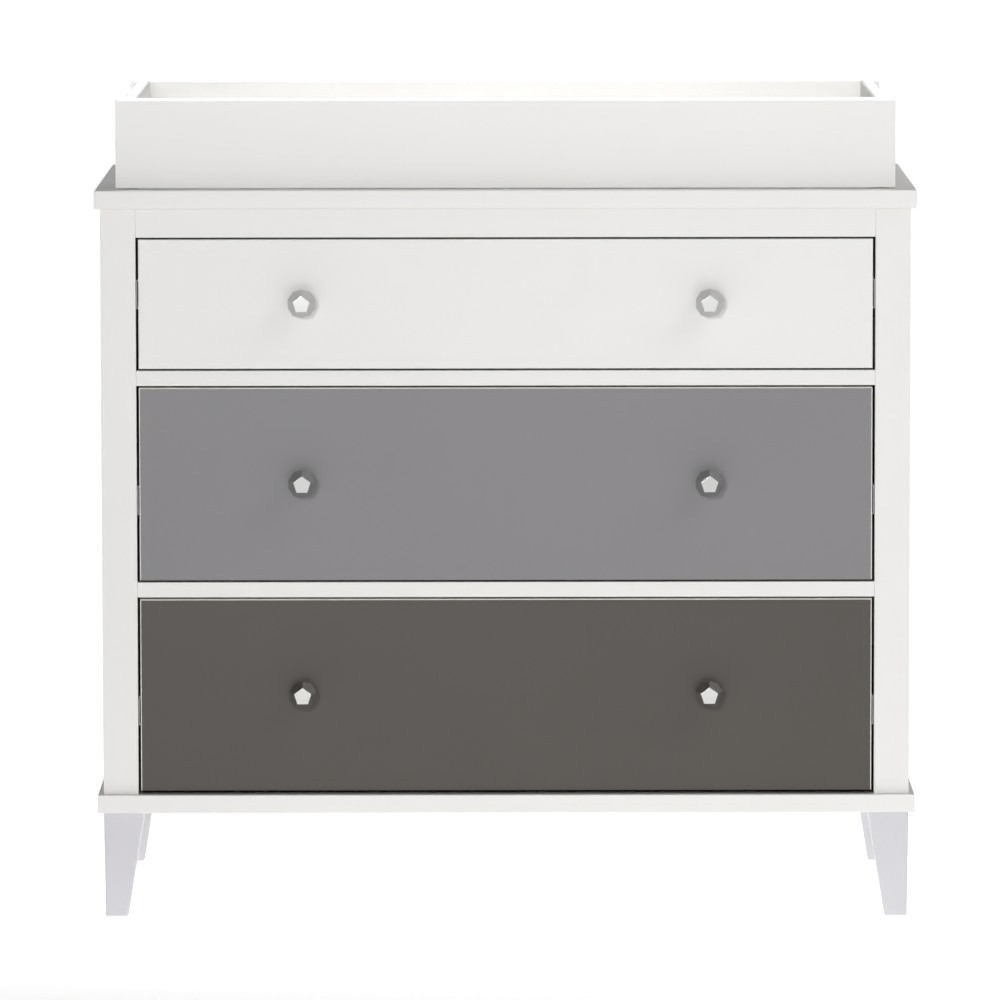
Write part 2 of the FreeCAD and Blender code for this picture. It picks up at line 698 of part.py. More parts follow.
def ball_cage(side, z):
    """The cage between the members: a thin channel that carries two rows of balls.

    Each ball's seam faces the drawer, where the ball stands out of the channel.
    """
    back = SLIDE_METAL + CAGE_PLAY
    front = OUTER_REACH - SLIDE_METAL - CAGE_PLAY
    outer = BALL_RISE + CAGE_METAL / 2.0
    inner = BALL_RISE - CAGE_METAL / 2.0
    web = back + CAGE_METAL
    points = [
        (back, -outer), (front, -outer), (front, -inner), (web, -inner),
        (web, inner), (front, inner), (front, outer), (back, outer),
    ]
    cage = run_of(points, side, z, CAGE_Y, CAGE_LENGTH)
    row = BALL_PITCH * (BALLS_PER_ROW - 1)
    first = CAGE_Y + (CAGE_LENGTH - row) / 2.0
    balls = []
    for rise in (-BALL_RISE, BALL_RISE):
        for index in range(BALLS_PER_ROW):
            place = FreeCAD.Vector(
                side * (OPENING_HALF - BALL_OUT), first + index * BALL_PITCH, z + rise)
            balls.append(Part.makeSphere(BALL_DIAMETER / 2.0, place, -Z_AXIS * side))
    return cage.fuse(balls).removeSplitter()


def cabinet_members(screws):
    members = []
    for z in slide_heights():
        for side in SIDES:
            member = cabinet_member(side, z)
            for screw in screws:
                hole = screw.head_hole()
                if hole.BoundBox.intersect(member.BoundBox):
                    member = member.cut(hole)
            members.append(member)
    return members


# ------------------------------------------------------------------ knobs
def knob_rings():
    """The four rings of five corners of a regular twelve-sided solid: radius, height, turn."""
    outer = PENTAGON_RADIUS * KNOB_EDGE
    waist = GOLDEN * outer
    waist_height = math.sqrt((KNOB_INRADIUS ** 2 + outer ** 2) - waist ** 2)
    half_turn = math.pi / 5.0
    return (
        (outer, KNOB_INRADIUS, 0.0),
        (waist, waist_height, 0.0),
        (waist, -waist_height, half_turn),
        (outer, -KNOB_INRADIUS, half_turn),
    )


def knob_point(ring, index, x, z):
    """A corner of the knob, with the solid's middle in front of the drawer."""
    radius, height, turn = ring
    angle = math.pi / 2.0 + turn + index * 2.0 * math.pi / 5.0
    y = FRONT_Y - KNOB_NECK_LENGTH - KNOB_INRADIUS - height
    return FreeCAD.Vector(x + radius * math.cos(angle), y, z + radius * math.sin(angle))


def facet(points):
    return Part.Face(Part.makePolygon(points + points[:1]))


def knob_body(x, z):
    """The twelve-sided head, one pentagon facing the user with a corner up."""
    front, upper, lower, back = knob_rings()

    def corner(ring, index):
        return knob_point(ring, index, x, z)
    facets = [
        facet([corner(front, index) for index in range(5)]),
        facet([corner(back, index) for index in range(5)]),
    ]
    for index in range(5):
        after = index + 1
        facets.append(facet([
            corner(front, index), corner(front, after), corner(upper, after),
            corner(lower, index), corner(upper, index)]))
        facets.append(facet([
            corner(back, index), corner(back, after), corner(lower, after),
            corner(upper, after), corner(lower, index)]))
    return Part.makeSolid(Part.makeShell(facets))


def knob(x, z):
    """Head and neck, tapped from behind for its screw."""
    base = FreeCAD.Vector(x, FRONT_Y, z)
    neck = rod(KNOB_NECK_DIAMETER / 2.0, base, -Y_AXIS, KNOB_NECK_LENGTH + KNOB_INRADIUS)
    tapped = rod(KNOB_SCREW_DIAMETER / 2.0 + HOLE_PLAY, base, -Y_AXIS,
                 KNOB_SCREW_GRIP + HOLE_END_PLAY)
    return knob_body(x, z).fuse(neck).removeSplitter().cut(tapped)


def knob_screw(x, z):
    """A machine screw from inside the drawer into the knob."""
    seat = FreeCAD.Vector(x, BOX_FRONT_Y, z)
    shank = rod(KNOB_SCREW_DIAMETER / 2.0, seat, -Y_AXIS, FRONT_THICKNESS + KNOB_SCREW_GRIP)
    head = rod(KNOB_SCREW_HEAD_DIAMETER / 2.0, seat, Y_AXIS, KNOB_SCREW_HEAD_HEIGHT)
    return shank.fuse(head).removeSplitter()


# ------------------------------------------------------------------ drawers
def drawer_bottom_range(front_z):
    """The height range of a drawer's bottom panel."""
    low = front_z + BOX_RISE + BOTTOM_RISE
    return (low, low + BOTTOM_THICKNESS)


def bottom_groove(front_z):
    """The groove that holds a drawer's bottom panel on all four sides."""
    half = BOX_INNER + BOTTOM_GROOVE_DEPTH
    low, high = drawer_bottom_range(front_z)
    y_range = (BOX_FRONT_Y - BOTTOM_GROOVE_DEPTH, BOX_BACK_Y - BOX_WALL + BOTTOM_GROOVE_DEPTH)
    return block((-half, half), y_range, (low - GROOVE_PLAY, high + GROOVE_PLAY))


def drawer_front(front_z, height, knob_z):
    x_range = (-FRONT_HALF, FRONT_HALF)
    shape = block(x_range, (FRONT_Y, BOX_FRONT_Y), (front_z, front_z + height))

    def in_front(edge):
        return edge.BoundBox.YMax < FRONT_Y + FRONT_EDGE_ROUND / 2.0
    shape = rounded(shape, FRONT_EDGE_ROUND, in_front).cut(bottom_groove(front_z))
    for side in SIDES:
        place = FreeCAD.Vector(side * KNOB_SPACING / 2.0, BOX_FRONT_Y, knob_z)
        way = rod(KNOB_SCREW_DIAMETER / 2.0 + HOLE_PLAY, place, -Y_AXIS, FRONT_THICKNESS)
        shape = shape.cut(way)
    return shape


def drawer_side(side, front_z, box_height, screws):
    low = front_z + BOX_RISE
    x_range = (side * BOX_INNER, side * BOX_HALF)
    shape = block(x_range, (BOX_FRONT_Y, BOX_BACK_Y), (low, low + box_height))

    def along_top(edge):
        return along(edge, Y_AXIS) and centre(edge).z > low + box_height - BOX_EDGE_ROUND
    shape = rounded(shape, BOX_EDGE_ROUND, along_top).cut(bottom_groove(front_z))
    return screw_holes(shape, screws)


def drawer_back(front_z, box_height):
    low = front_z + BOX_RISE
    x_range = (-BOX_INNER, BOX_INNER)
    shape = block(x_range, (BOX_BACK_Y - BOX_WALL, BOX_BACK_Y), (low, low + box_height))

    def along_top(edge):
        return along(edge, X_AXIS) and centre(edge).z > low + box_height - BOX_EDGE_ROUND
    return rounded(shape, BOX_EDGE_ROUND, along_top).cut(bottom_groove(front_z))


def drawer_bottom(front_z):
    reach = BOTTOM_GROOVE_DEPTH - HOLE_END_PLAY
    half = BOX_INNER + reach
    y_range = (BOX_FRONT_Y - reach, BOX_BACK_Y - BOX_WALL + reach)
    return block((-half, half), y_range, drawer_bottom_range(front_z))


def drawer_slide_members(z, screws):
    """A drawer's two slide members and the screws that hold them."""
    solids = [screw.solid() for screw in screws]
    for side in SIDES:
        member = drawer_member(side, z)
        for screw in screws:
            hole = screw.head_hole()
            if hole.BoundBox.intersect(member.BoundBox):
                member = member.cut(hole)
        solids.append(member)
    return solids


def save_drawer(name, front_z, front_height, box_height, slide_rise):
    slide_z = front_z + slide_rise
    knob_z = front_z + front_height / 2.0 + KNOB_RISE
    screws = drawer_slide_screws(slide_z)
    save(name + "_front", drawer_front(front_z, front_height, knob_z))
    save(name + "_side_left", drawer_side(-1.0, front_z, box_height, screws))
    save(name + "_side_right", drawer_side(1.0, front_z, box_height, screws))
    save(name + "_back", drawer_back(front_z, box_height))
    save(name + "_bottom", drawer_bottom(front_z))
    save(name + "_knob_left", knob(-KNOB_SPACING / 2.0, knob_z))
    save(name + "_knob_right", knob(KNOB_SPACING / 2.0, knob_z))
    save(name + "_knob_screws", [knob_screw(side * KNOB_SPACING / 2.0, knob_z) for side in SIDES])
    save(name + "_slide_members", drawer_slide_members(slide_z, screws))
    save(name + "_ball_cages", [ball_cage(side, slide_z) for side in SIDES])


# ------------------------------------------------------------------ topper
def topper_top_round(shape, axis):
    """Round over the two long upper edges of a topper board."""
    def upper(edge):
        return along(edge, axis) and centre(edge).z > TOPPER_TOP_Z - TOPPER_EDGE_ROUND
    return rounded(shape, TOPPER_EDGE_ROUND, upper)


def topper_cross_board(y, dowels):
    """The front or back board, full width, its ends lightly eased."""
    x_range = (-TOPPER_HALF, TOPPER_HALF)
    shape = block(x_range, (y, y + TOPPER_BOARD), (TOPPER_Z, TOPPER_TOP_Z))
    shape = rounded(shape, TOPPER_END_ROUND, lambda edge: along(edge, Z_AXIS))
    return drill(topper_top_round(shape, X_AXIS), dowels)


def topper_side(side, dowels, screws):
    x_range = (side * TOPPER_SIDE_INNER, side * TOPPER_SIDE_OUTER)
    y_range = (TOPPER_FRONT_Y + TOPPER_BOARD, TOPPER_BACK_Y - TOPPER_BOARD)
    shape = block(x_range, y_range, (TOPPER_Z, TOPPER_TOP_Z))
    shape = topper_top_round(shape, Y_AXIS)
    return screw_holes(drill(shape, dowels), screws)


def topper_brackets(screws):
    """Four angle brackets in the tray's corners, leg down on the top board."""
    brackets = []
    for side in SIDES:
        for y in topper_bracket_places():
            y_range = (y - BRACKET_WIDTH / 2.0, y + BRACKET_WIDTH / 2.0)
            wall_x = side * TOPPER_SIDE_INNER
            thin_x = side * (TOPPER_SIDE_INNER - BRACKET_METAL)
            far_x = side * (TOPPER_SIDE_INNER - BRACKET_LEG)
            upright = block((wall_x, thin_x), y_range, (TOP_Z, TOP_Z + BRACKET_LEG))
            foot_leg = block((wall_x, far_x), y_range, (TOP_Z, TOP_Z + BRACKET_METAL))
            bracket = upright.fuse(foot_leg).removeSplitter()
            brackets.append(screw_holes(bracket, screws))
    return brackets


def topper_pads():
    """Thin round bumpers under the topper: two per side board, one amid each long board."""
    ends = (
        TOPPER_FRONT_Y + TOPPER_BOARD + PAD_FROM_END,
        TOPPER_BACK_Y - TOPPER_BOARD - PAD_FROM_END,
    )
    places = [(side * TOPPER_SIDE_MID, y) for side in SIDES for y in ends]
    places.append((0.0, TOPPER_FRONT_Y + TOPPER_BOARD / 2.0))
    places.append((0.0, TOPPER_BACK_Y - TOPPER_BOARD / 2.0))
    return [
        rod(PAD_DIAMETER / 2.0, FreeCAD.Vector(x, y, TOP_Z), Z_AXIS, PAD_THICKNESS)
        for x, y in places
    ]


# ------------------------------------------------------------------ the whole dresser
def save_case(dowels, fittings, cabinet_screws, back_screws, tray_screws):
    save("top_panel", top_panel(dowels, fittings, tray_screws))
    save("bottom_panel", bottom_panel(dowels, fittings))
    save("side_panel_left", side_panel(-1.0, dowels, fittings))
    save("side_panel_right", side_panel(1.0, dowels, fittings))
    save("stile_left", stile(-1.0, dowels))
    save("stile_right", stile(1.0, dowels))
    save("top_rail", rail(TOP_RAIL_Z, TOP_RAIL_HEIGHT, dowels))
    save("rail_upper", rail(RAIL_UPPER_Z, RAIL_HEIGHT, dowels))
    save("rail_lower", rail(RAIL_LOWER_Z, RAIL_HEIGHT, dowels))
    save("back_rail", back_rail(dowels, back_screws))
    save("back_panel", back_panel(back_screws))
    save("slide_cleats", slide_cleats(cabinet_screws))
    save("slide_cabinet_members", cabinet_members(cabinet_screws))
    save("cam_discs", [fitting.disc() for fitting in fittings])
    save("cam_bolts", [fitting.bolt() for fitting in fittings])
    save("strap_plate", strap_plate(back_screws))


def save_feet():
    for name, side, end in foot_places():
        save(name, foot(side, end))
    save("foot_bolts", [foot_bolt(side, end) for name, side, end in foot_places()])


def save_topper(dowels, screws):
    save("topper_front", topper_cross_board(TOPPER_FRONT_Y, dowels))
    save("topper_back", topper_cross_board(TOPPER_BACK_Y - TOPPER_BOARD, dowels))
    save("topper_side_left", topper_side(-1.0, dowels, screws))
    save("topper_side_right", topper_side(1.0, dowels, screws))
    save("topper_brackets", topper_brackets(screws))
    save("topper_pads", topper_pads())


def main():
    os.makedirs("parts", exist_ok=True)
    frame_dowels = case_dowels()
    tray_dowels = topper_dowels()
    fittings = cam_fittings()
    cabinet_screws = cabinet_slide_screws()
    back_screws = strap_plate_screws()
    tray_screws = topper_screws()
    save_case(frame_dowels, fittings, cabinet_screws, back_screws, tray_screws)
    save_feet()
    save_topper(tray_dowels, tray_screws)
    save("dowels", [dowel.solid() for dowel in frame_dowels + tray_dowels])
    all_screws = cabinet_screws + back_screws + tray_screws
    save("wood_screws", [screw.solid() for screw in all_screws])
    for drawer in DRAWERS:
        save_drawer(*drawer)


main()
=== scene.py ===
import functools
import logging
import math
from collections.abc import Callable, Iterable
from dataclasses import dataclass, field
from enum import Enum

import bmesh
import bpy
from mathutils import Matrix, Vector


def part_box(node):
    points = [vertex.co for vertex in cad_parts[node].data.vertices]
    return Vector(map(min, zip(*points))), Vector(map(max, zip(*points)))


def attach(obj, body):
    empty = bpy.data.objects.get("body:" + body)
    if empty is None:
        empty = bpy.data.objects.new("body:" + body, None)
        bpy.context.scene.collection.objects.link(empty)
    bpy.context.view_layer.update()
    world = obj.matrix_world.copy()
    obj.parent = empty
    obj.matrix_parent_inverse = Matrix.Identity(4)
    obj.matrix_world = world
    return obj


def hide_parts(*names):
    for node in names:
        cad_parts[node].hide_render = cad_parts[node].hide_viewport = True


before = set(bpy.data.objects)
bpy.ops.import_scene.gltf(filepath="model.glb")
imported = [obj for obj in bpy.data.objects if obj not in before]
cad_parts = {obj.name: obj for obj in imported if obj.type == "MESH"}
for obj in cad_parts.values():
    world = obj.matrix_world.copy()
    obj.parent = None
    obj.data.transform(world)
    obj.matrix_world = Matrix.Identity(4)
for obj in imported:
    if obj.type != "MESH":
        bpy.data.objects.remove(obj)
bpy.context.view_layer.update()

LOG = logging.getLogger("dresser")
MM = 0.001
SHARP_ANGLE = math.radians(40.0)
FLAT_ANGLE = math.radians(5.0)
PARALLEL = 0.999
TOUCH = 0.1 * MM
X, Y, Z = Vector((1, 0, 0)), Vector((0, 1, 0)), Vector((0, 0, 1))


class Body(Enum):
    """The bodies of the frame that pieces ride on."""

    CASE = "case"
    DRAWER_1 = "drawer_1"
    DRAWER_2 = "drawer_2"
    DRAWER_3 = "drawer_3"


class Slot(Enum):
    """The record's material slots."""

    WHITE = "white_paint"
    DRAWER_WHITE = "drawer_white_paint"
    MID_GREY = "mid_grey_paint"
    DARK_GREY = "dark_grey_paint"
    FOOT = "foot_paint"
    DRAWER_BOARD = "drawer_board"
    HARDBOARD = "hardboard"
    RAW_BOARD = "raw_board"
    DOWEL = "dowel_wood"
    KNOB = "knob_metal"
    STEEL = "zinc_steel"
    CAST = "cast_zinc"
    BUMPER = "bumper"


class Side(Enum):
    """Left and right, as seen from the front."""

    LEFT = -1
    RIGHT = 1


# ---------------------------------------------------------------- colours and nodes
def linear(colour: str) -> tuple[float, float, float, float]:
    """Turns an sRGB hex colour into linear values.

    Args:
        colour: six hex digits after a hash.

    Returns:
        Linear red, green, blue, and an alpha of 1.
    """
    values = [int(colour[start:start + 2], 16) / 255.0 for start in (1, 3, 5)]
    red, green, blue = (v / 12.92 if v <= 0.04045 else ((v + 0.055) / 1.055) ** 2.4 for v in values)
    return red, green, blue, 1.0


def add_node(
        owner: bpy.types.Material | bpy.types.World, kind: str,
        values: dict[str | int, object] | None = None, **settings: object) -> bpy.types.Node:
    """Adds one node with its settings, values and links.

    Args:
        owner: the material or world whose tree it joins.
        kind: the node's type.
        values: what goes into its inputs, by name or place: a number, a colour or another node's output.
        settings: the node's own properties.

    Returns:
        The new node.
    """
    tree = owner.node_tree
    node = tree.nodes.new(kind)
    for name, value in settings.items():
        setattr(node, name, value)
    for name, value in (values or {}).items():
        socket = node.inputs[name]
        if isinstance(value, bpy.types.NodeSocket):
            tree.links.new(value, socket)
        else:
            socket.default_value = value
    return node


def per_metre(size_mm: float) -> float:
    """The texture scale at which one feature is size_mm wide."""
    return 1.0 / (size_mm * MM)


# ---------------------------------------------------------------- finishes
@dataclass(frozen=True)
class Finish:
    """What every finish has: a name, a colour, a second tone to vary towards, and a gloss."""

    name: str
    colour: str
    tone: str
    roughness: float
    roughness_spread: float = 0.06

    def material(self) -> bpy.types.Material:
        """Builds the finish; each kind has its own way."""
        raise NotImplementedError

    def blank(self) -> tuple[bpy.types.Material, bpy.types.NodeSocket]:
        """Starts the material.

        Returns:
            The material with an empty tree, and the piece's own coordinates in metres.
        """
        material = bpy.data.materials.new(self.name)
        material.use_nodes = True
        material.node_tree.nodes.clear()
        material.diffuse_color = linear(self.colour)
        place = add_node(material, "ShaderNodeTexCoord")
        return material, place.outputs["Object"]

    def tinted(self, material: bpy.types.Material, share: bpy.types.NodeSocket) -> bpy.types.NodeSocket:
        """Mixes the finish's colour with its second tone.

        Args:
            material: the material being built.
            share: where and how much of the second tone shows, from 0 to 1.

        Returns:
            The colour.
        """
        values = {0: share, 6: linear(self.colour), 7: linear(self.tone)}
        return add_node(material, "ShaderNodeMix", values, data_type="RGBA").outputs[2]

    def gloss(self, material: bpy.types.Material, share: bpy.types.NodeSocket) -> bpy.types.NodeSocket:
        """Spreads the roughness a little about its middle value.

        Args:
            material: the material being built.
            share: a pattern from 0 to 1.

        Returns:
            The roughness.
        """
        low, high = self.roughness - self.roughness_spread, self.roughness + self.roughness_spread
        values = {"Value": share, "To Min": low, "To Max": high}
        return add_node(material, "ShaderNodeMapRange", values).outputs["Result"]

    def finish_off(self, material: bpy.types.Material, shader: bpy.types.Node) -> bpy.types.Material:
        """Links the shader to the surface and hands the material over."""
        add_node(material, "ShaderNodeOutputMaterial", {"Surface": shader.outputs[0]})
        return material


@dataclass(frozen=True)
class Lacquer(Finish):
    """Satin lacquer sprayed on sanded fibreboard.

    The eye gets an even colour with hardly any cloud in it, a soft sheen, and the fine dimples that sprayed
    lacquer dries to, one every few millimetres.
    """

    dimple_mm: float = 2.6
    dimple_height_mm: float = 0.012
    cloud_mm: float = 160.0
    ior: float = 1.5

    def material(self) -> bpy.types.Material:
        """Builds the lacquer."""
        material, place = self.blank()
        cloud = add_node(material, "ShaderNodeTexNoise", {
            "Vector": place, "Scale": per_metre(self.cloud_mm), "Detail": 2.0})
        dimples = add_node(material, "ShaderNodeTexNoise", {
            "Vector": place, "Scale": per_metre(self.dimple_mm), "Detail": 2.0, "Roughness": 0.45})
        relief = add_node(material, "ShaderNodeBump", {
            "Height": dimples.outputs["Fac"], "Strength": 1.0, "Distance": self.dimple_height_mm * MM})
        shader = add_node(material, "ShaderNodeBsdfPrincipled", {
            "Base Color": self.tinted(material, cloud.outputs["Fac"]),
            "Roughness": self.gloss(material, cloud.outputs["Fac"]),
            "IOR": self.ior,
            "Normal": relief.outputs["Normal"]})
        return self.finish_off(material, shader)


@dataclass(frozen=True)
class PearlFoil(Finish):
    """White melamine foil pressed on thin board, with a fine pearl embossing and a dull sheen."""

    pearl_mm: float = 0.9
    pearl_height_mm: float = 0.015
    drift_pearls: float = 40.0
    ior: float = 1.5

    def material(self) -> bpy.types.Material:
        """Builds the foil."""
        material, place = self.blank()
        pearl = add_node(material, "ShaderNodeTexVoronoi", {
            "Vector": place, "Scale": per_metre(self.pearl_mm)}, feature="SMOOTH_F1")
        drift = add_node(material, "ShaderNodeTexNoise", {
            "Vector": place, "Scale": per_metre(self.pearl_mm * self.drift_pearls), "Detail": 3.0})
        relief = add_node(material, "ShaderNodeBump", {
            "Height": pearl.outputs["Distance"], "Strength": 1.0, "Distance": self.pearl_height_mm * MM})
        shader = add_node(material, "ShaderNodeBsdfPrincipled", {
            "Base Color": self.tinted(material, drift.outputs["Fac"]),
            "Roughness": self.gloss(material, drift.outputs["Fac"]),
            "IOR": self.ior,
            "Normal": relief.outputs["Normal"]})
        return self.finish_off(material, shader)


@dataclass(frozen=True)
class PressedBoard(Finish):
    """Hardboard or particle board: chips or fibre clumps pressed flat, each a little lighter or darker."""

    chip_mm: float = 3.0
    stretch: float = 2.5
    relief_mm: float = 0.05
    contrast: float = 1.0

    def material(self) -> bpy.types.Material:
        """Builds the board."""
        material, place = self.blank()
        laid = add_node(material, "ShaderNodeMapping", {
            "Vector": place, "Scale": (1.0, 1.0 / self.stretch, 1.0)})
        chips = add_node(material, "ShaderNodeTexVoronoi", {
            "Vector": laid.outputs["Vector"], "Scale": per_metre(self.chip_mm)})
        shade = add_node(material, "ShaderNodeSeparateColor", {"Color": chips.outputs["Color"]})
        share = add_node(material, "ShaderNodeMapRange", {
            "Value": shade.outputs["Red"],
            "To Min": 0.5 - self.contrast / 2.0, "To Max": 0.5 + self.contrast / 2.0})
        relief = add_node(material, "ShaderNodeBump", {
            "Height": shade.outputs["Green"], "Strength": 1.0, "Distance": self.relief_mm * MM})
        shader = add_node(material, "ShaderNodeBsdfPrincipled", {
            "Base Color": self.tinted(material, share.outputs["Result"]),
            "Roughness": self.gloss(material, shade.outputs["Blue"]),
            "Normal": relief.outputs["Normal"]})
        return self.finish_off(material, shader)


@dataclass(frozen=True)
class TurnedBeech(Finish):
    """Bare beech dowel: pale, with short darker flecks along the grain."""

    fleck_mm: float = 0.8
    along_grain: float = 0.12

    def material(self) -> bpy.types.Material:
        """Builds the wood."""
        material, place = self.blank()
        along = add_node(material, "ShaderNodeMapping", {
            "Vector": place, "Scale": (self.along_grain, 1.0, 1.0)})
        flecks = add_node(material, "ShaderNodeTexNoise", {
            "Vector": along.outputs["Vector"], "Scale": per_metre(self.fleck_mm), "Detail": 4.0})
        shader = add_node(material, "ShaderNodeBsdfPrincipled", {
            "Base Color": self.tinted(material, flecks.outputs["Fac"]),
            "Roughness": self.gloss(material, flecks.outputs["Fac"])})
        return self.finish_off(material, shader)


@dataclass(frozen=True)
class RolledSteel(Finish):
    """Cold-rolled steel with bright zinc plate: fine streaks along the rolling under a thin cool skin."""

    streak_mm: float = 0.7
    bloom_streaks: float = 25.0
    streak_length: float = 60.0
    relief_mm: float = 0.004

    def material(self) -> bpy.types.Material:
        """Builds the plated steel."""
        material, place = self.blank()
        rolled = add_node(material, "ShaderNodeMapping", {
            "Vector": place, "Scale": (1.0, 1.0 / self.streak_length, 1.0)})
        streaks = add_node(material, "ShaderNodeTexNoise", {
            "Vector": rolled.outputs["Vector"], "Scale": per_metre(self.streak_mm), "Detail": 3.0})
        bloom = add_node(material, "ShaderNodeTexNoise", {
            "Vector": place, "Scale": per_metre(self.streak_mm * self.bloom_streaks), "Detail": 2.0})
        relief = add_node(material, "ShaderNodeBump", {
            "Height": streaks.outputs["Fac"], "Strength": 1.0, "Distance": self.relief_mm * MM})
        shader = add_node(material, "ShaderNodeBsdfPrincipled", {
            "Base Color": self.tinted(material, bloom.outputs["Fac"]),
            "Metallic": 1.0,
            "Roughness": self.gloss(material, streaks.outputs["Fac"]),
            "Normal": relief.outputs["Normal"]})
        return self.finish_off(material, shader)


@dataclass(frozen=True)
class CastMetal(Finish):
    """Die-cast zinc, tumbled: grainy in the small, or satin nickel over it where it is polished."""

    grain_mm: float = 0.6
    relief_mm: float = 0.01
    bloom_grains: float = 15.0

    def material(self) -> bpy.types.Material:
        """Builds the metal."""
        material, place = self.blank()
        grain = add_node(material, "ShaderNodeTexNoise", {
            "Vector": place, "Scale": per_metre(self.grain_mm), "Detail": 3.0, "Roughness": 0.6})
        bloom = add_node(material, "ShaderNodeTexNoise", {
            "Vector": place, "Scale": per_metre(self.grain_mm * self.bloom_grains), "Detail": 2.0})
        relief = add_node(material, "ShaderNodeBump", {
            "Height": grain.outputs["Fac"], "Strength": 1.0, "Distance": self.relief_mm * MM})
        shader = add_node(material, "ShaderNodeBsdfPrincipled", {
            "Base Color": self.tinted(material, bloom.outputs["Fac"]),
            "Metallic": 1.0,
            "Roughness": self.gloss(material, grain.outputs["Fac"]),
            "Normal": relief.outputs["Normal"]})
        return self.finish_off(material, shader)


@dataclass(frozen=True)
class SoftVinyl(Finish):
    """Clear soft vinyl bumper: milky, with light passing a little way in."""

    cloud_mm: float = 2.0
    ior: float = 1.52
    light_inside: float = 0.3
    depth_mm: float = 1.0

    def material(self) -> bpy.types.Material:
        """Builds the vinyl."""
        material, place = self.blank()
        cloud = add_node(material, "ShaderNodeTexNoise", {"Vector": place, "Scale": per_metre(self.cloud_mm)})
        shader = add_node(material, "ShaderNodeBsdfPrincipled", {
            "Base Color": self.tinted(material, cloud.outputs["Fac"]),
            "Roughness": self.gloss(material, cloud.outputs["Fac"]),
            "IOR": self.ior,
            "Subsurface Weight": self.light_inside,
            "Subsurface Scale": self.depth_mm * MM})
        return self.finish_off(material, shader)


# Satin lacquer on fibreboard, on the case and the top drawer: a warm white with hardly any cloud.
WHITE_LACQUER = Lacquer("white_lacquer", "#DDDCDA", "#E1E0DE", 0.42)
DRAWER_WHITE_LACQUER = Lacquer("drawer_white_lacquer", "#DDDCDA", "#E1E0DF", 0.42)
# The same lacquer in the greys of the middle and the bottom drawer.
MID_GREY_LACQUER = Lacquer("mid_grey_lacquer", "#797779", "#7D7B7D", 0.40)
DARK_GREY_LACQUER = Lacquer("dark_grey_lacquer", "#433E39", "#47423D", 0.38)
# Undercoat on the edges of the grey fronts, seen as a fine pale line.
PALE_EDGE_LACQUER = Lacquer("pale_edge_lacquer", "#DAD8D0", "#E0DED6", 0.45)
# Lacquer on the wooden feet: a cooler white with a little more sheen.
FOOT_LACQUER = Lacquer("foot_lacquer", "#C5C3C7", "#C9C8CC", 0.36)
# Melamine foil round the boards of the drawer boxes.
WHITE_FOIL = PearlFoil("white_foil", "#E4E3DF", "#E8E7E4", 0.5)
# White hardboard of the back and the drawer bottoms, and bare particle board inside the case.
WHITE_HARDBOARD = PressedBoard("white_hardboard", "#DFDDD7", "#E5E3DE", 0.55, chip_mm=1.6, relief_mm=0.02)
PARTICLE_BOARD = PressedBoard("particle_board", "#A98B63", "#CDB48C", 0.75, chip_mm=2.6, relief_mm=0.12)
# Dowels: pale bare beech.
BEECH = TurnedBeech("bare_beech", "#CBA877", "#B78F5E", 0.6)
# Slides, brackets, bolts and screws: bright, cool and faintly streaked.
ZINC_PLATE = RolledSteel("zinc_plate", "#C3C6C9", "#CFCFCC", 0.30)
# Cams: dull and grainy.
CAST_ZINC = CastMetal("cast_zinc", "#A9A9AA", "#B6B6B5", 0.42)
# Knobs: tumbled smooth and plated, so that each facet gives back one soft tone.
SATIN_NICKEL = CastMetal("satin_nickel", "#BBBBBA", "#C2C2C1", 0.24, 0.03, grain_mm=0.5, relief_mm=0.0015)
# Bumpers under the topper: milky and soft-edged.
CLEAR_VINYL = SoftVinyl("clear_vinyl", "#D9D9D2", "#E2E2DC", 0.35)


@functools.cache
def surface(finish: Finish) -> bpy.types.Material:
    """The one material of a finish."""
    return finish.material()


# ---------------------------------------------------------------- shapes
@dataclass(frozen=True)
class Extent:
    """The box that one or more CAD nodes fill, in metres."""

    low: Vector
    high: Vector

    @classmethod
    def of(cls, *nodes: str) -> "Extent":
        """Reads the box around some CAD nodes."""
        boxes = [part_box(node) for node in nodes]
        low = Vector(min(box[0][axis] for box in boxes) for axis in range(3))
        high = Vector(max(box[1][axis] for box in boxes) for axis in range(3))
        return cls(low, high)

    @property
    def size(self) -> Vector:
        """Its three edge lengths."""
        return self.high - self.low

    @property
    def centre(self) -> Vector:
        """Its middle."""
        return (self.low + self.high) / 2.0


EdgeTest = Callable[[bmesh.types.BMEdge], bool]


def runs_along(edge: bmesh.types.BMEdge, axis: Vector) -> bool:
    """Whether an edge is parallel to an axis."""
    line = edge.verts[1].co - edge.verts[0].co
    return line.length > 0 and abs(line.normalized().dot(axis)) > PARALLEL


def ease(mesh: bmesh.types.BMesh, radius: float, wanted: EdgeTest, segments: int = 4) -> None:
    """Rounds some edges.

    Args:
        mesh: the mesh.
        radius: the radius in metres.
        wanted: which edges.
        segments: how many faces make the round.
    """
    edges = [edge for edge in mesh.edges if wanted(edge)]
    bmesh.ops.bevel(
        mesh, geom=edges, offset=radius, offset_type="OFFSET", segments=segments, profile=0.5,
        affect="EDGES", material=-1, clamp_overlap=True)


def block(extent: Extent) -> bmesh.types.BMesh:
    """A plain board that fills a box."""
    mesh = bmesh.new()
    bmesh.ops.create_cube(mesh, size=1.0, matrix=Matrix.LocRotScale(extent.centre, None, extent.size))
    return mesh


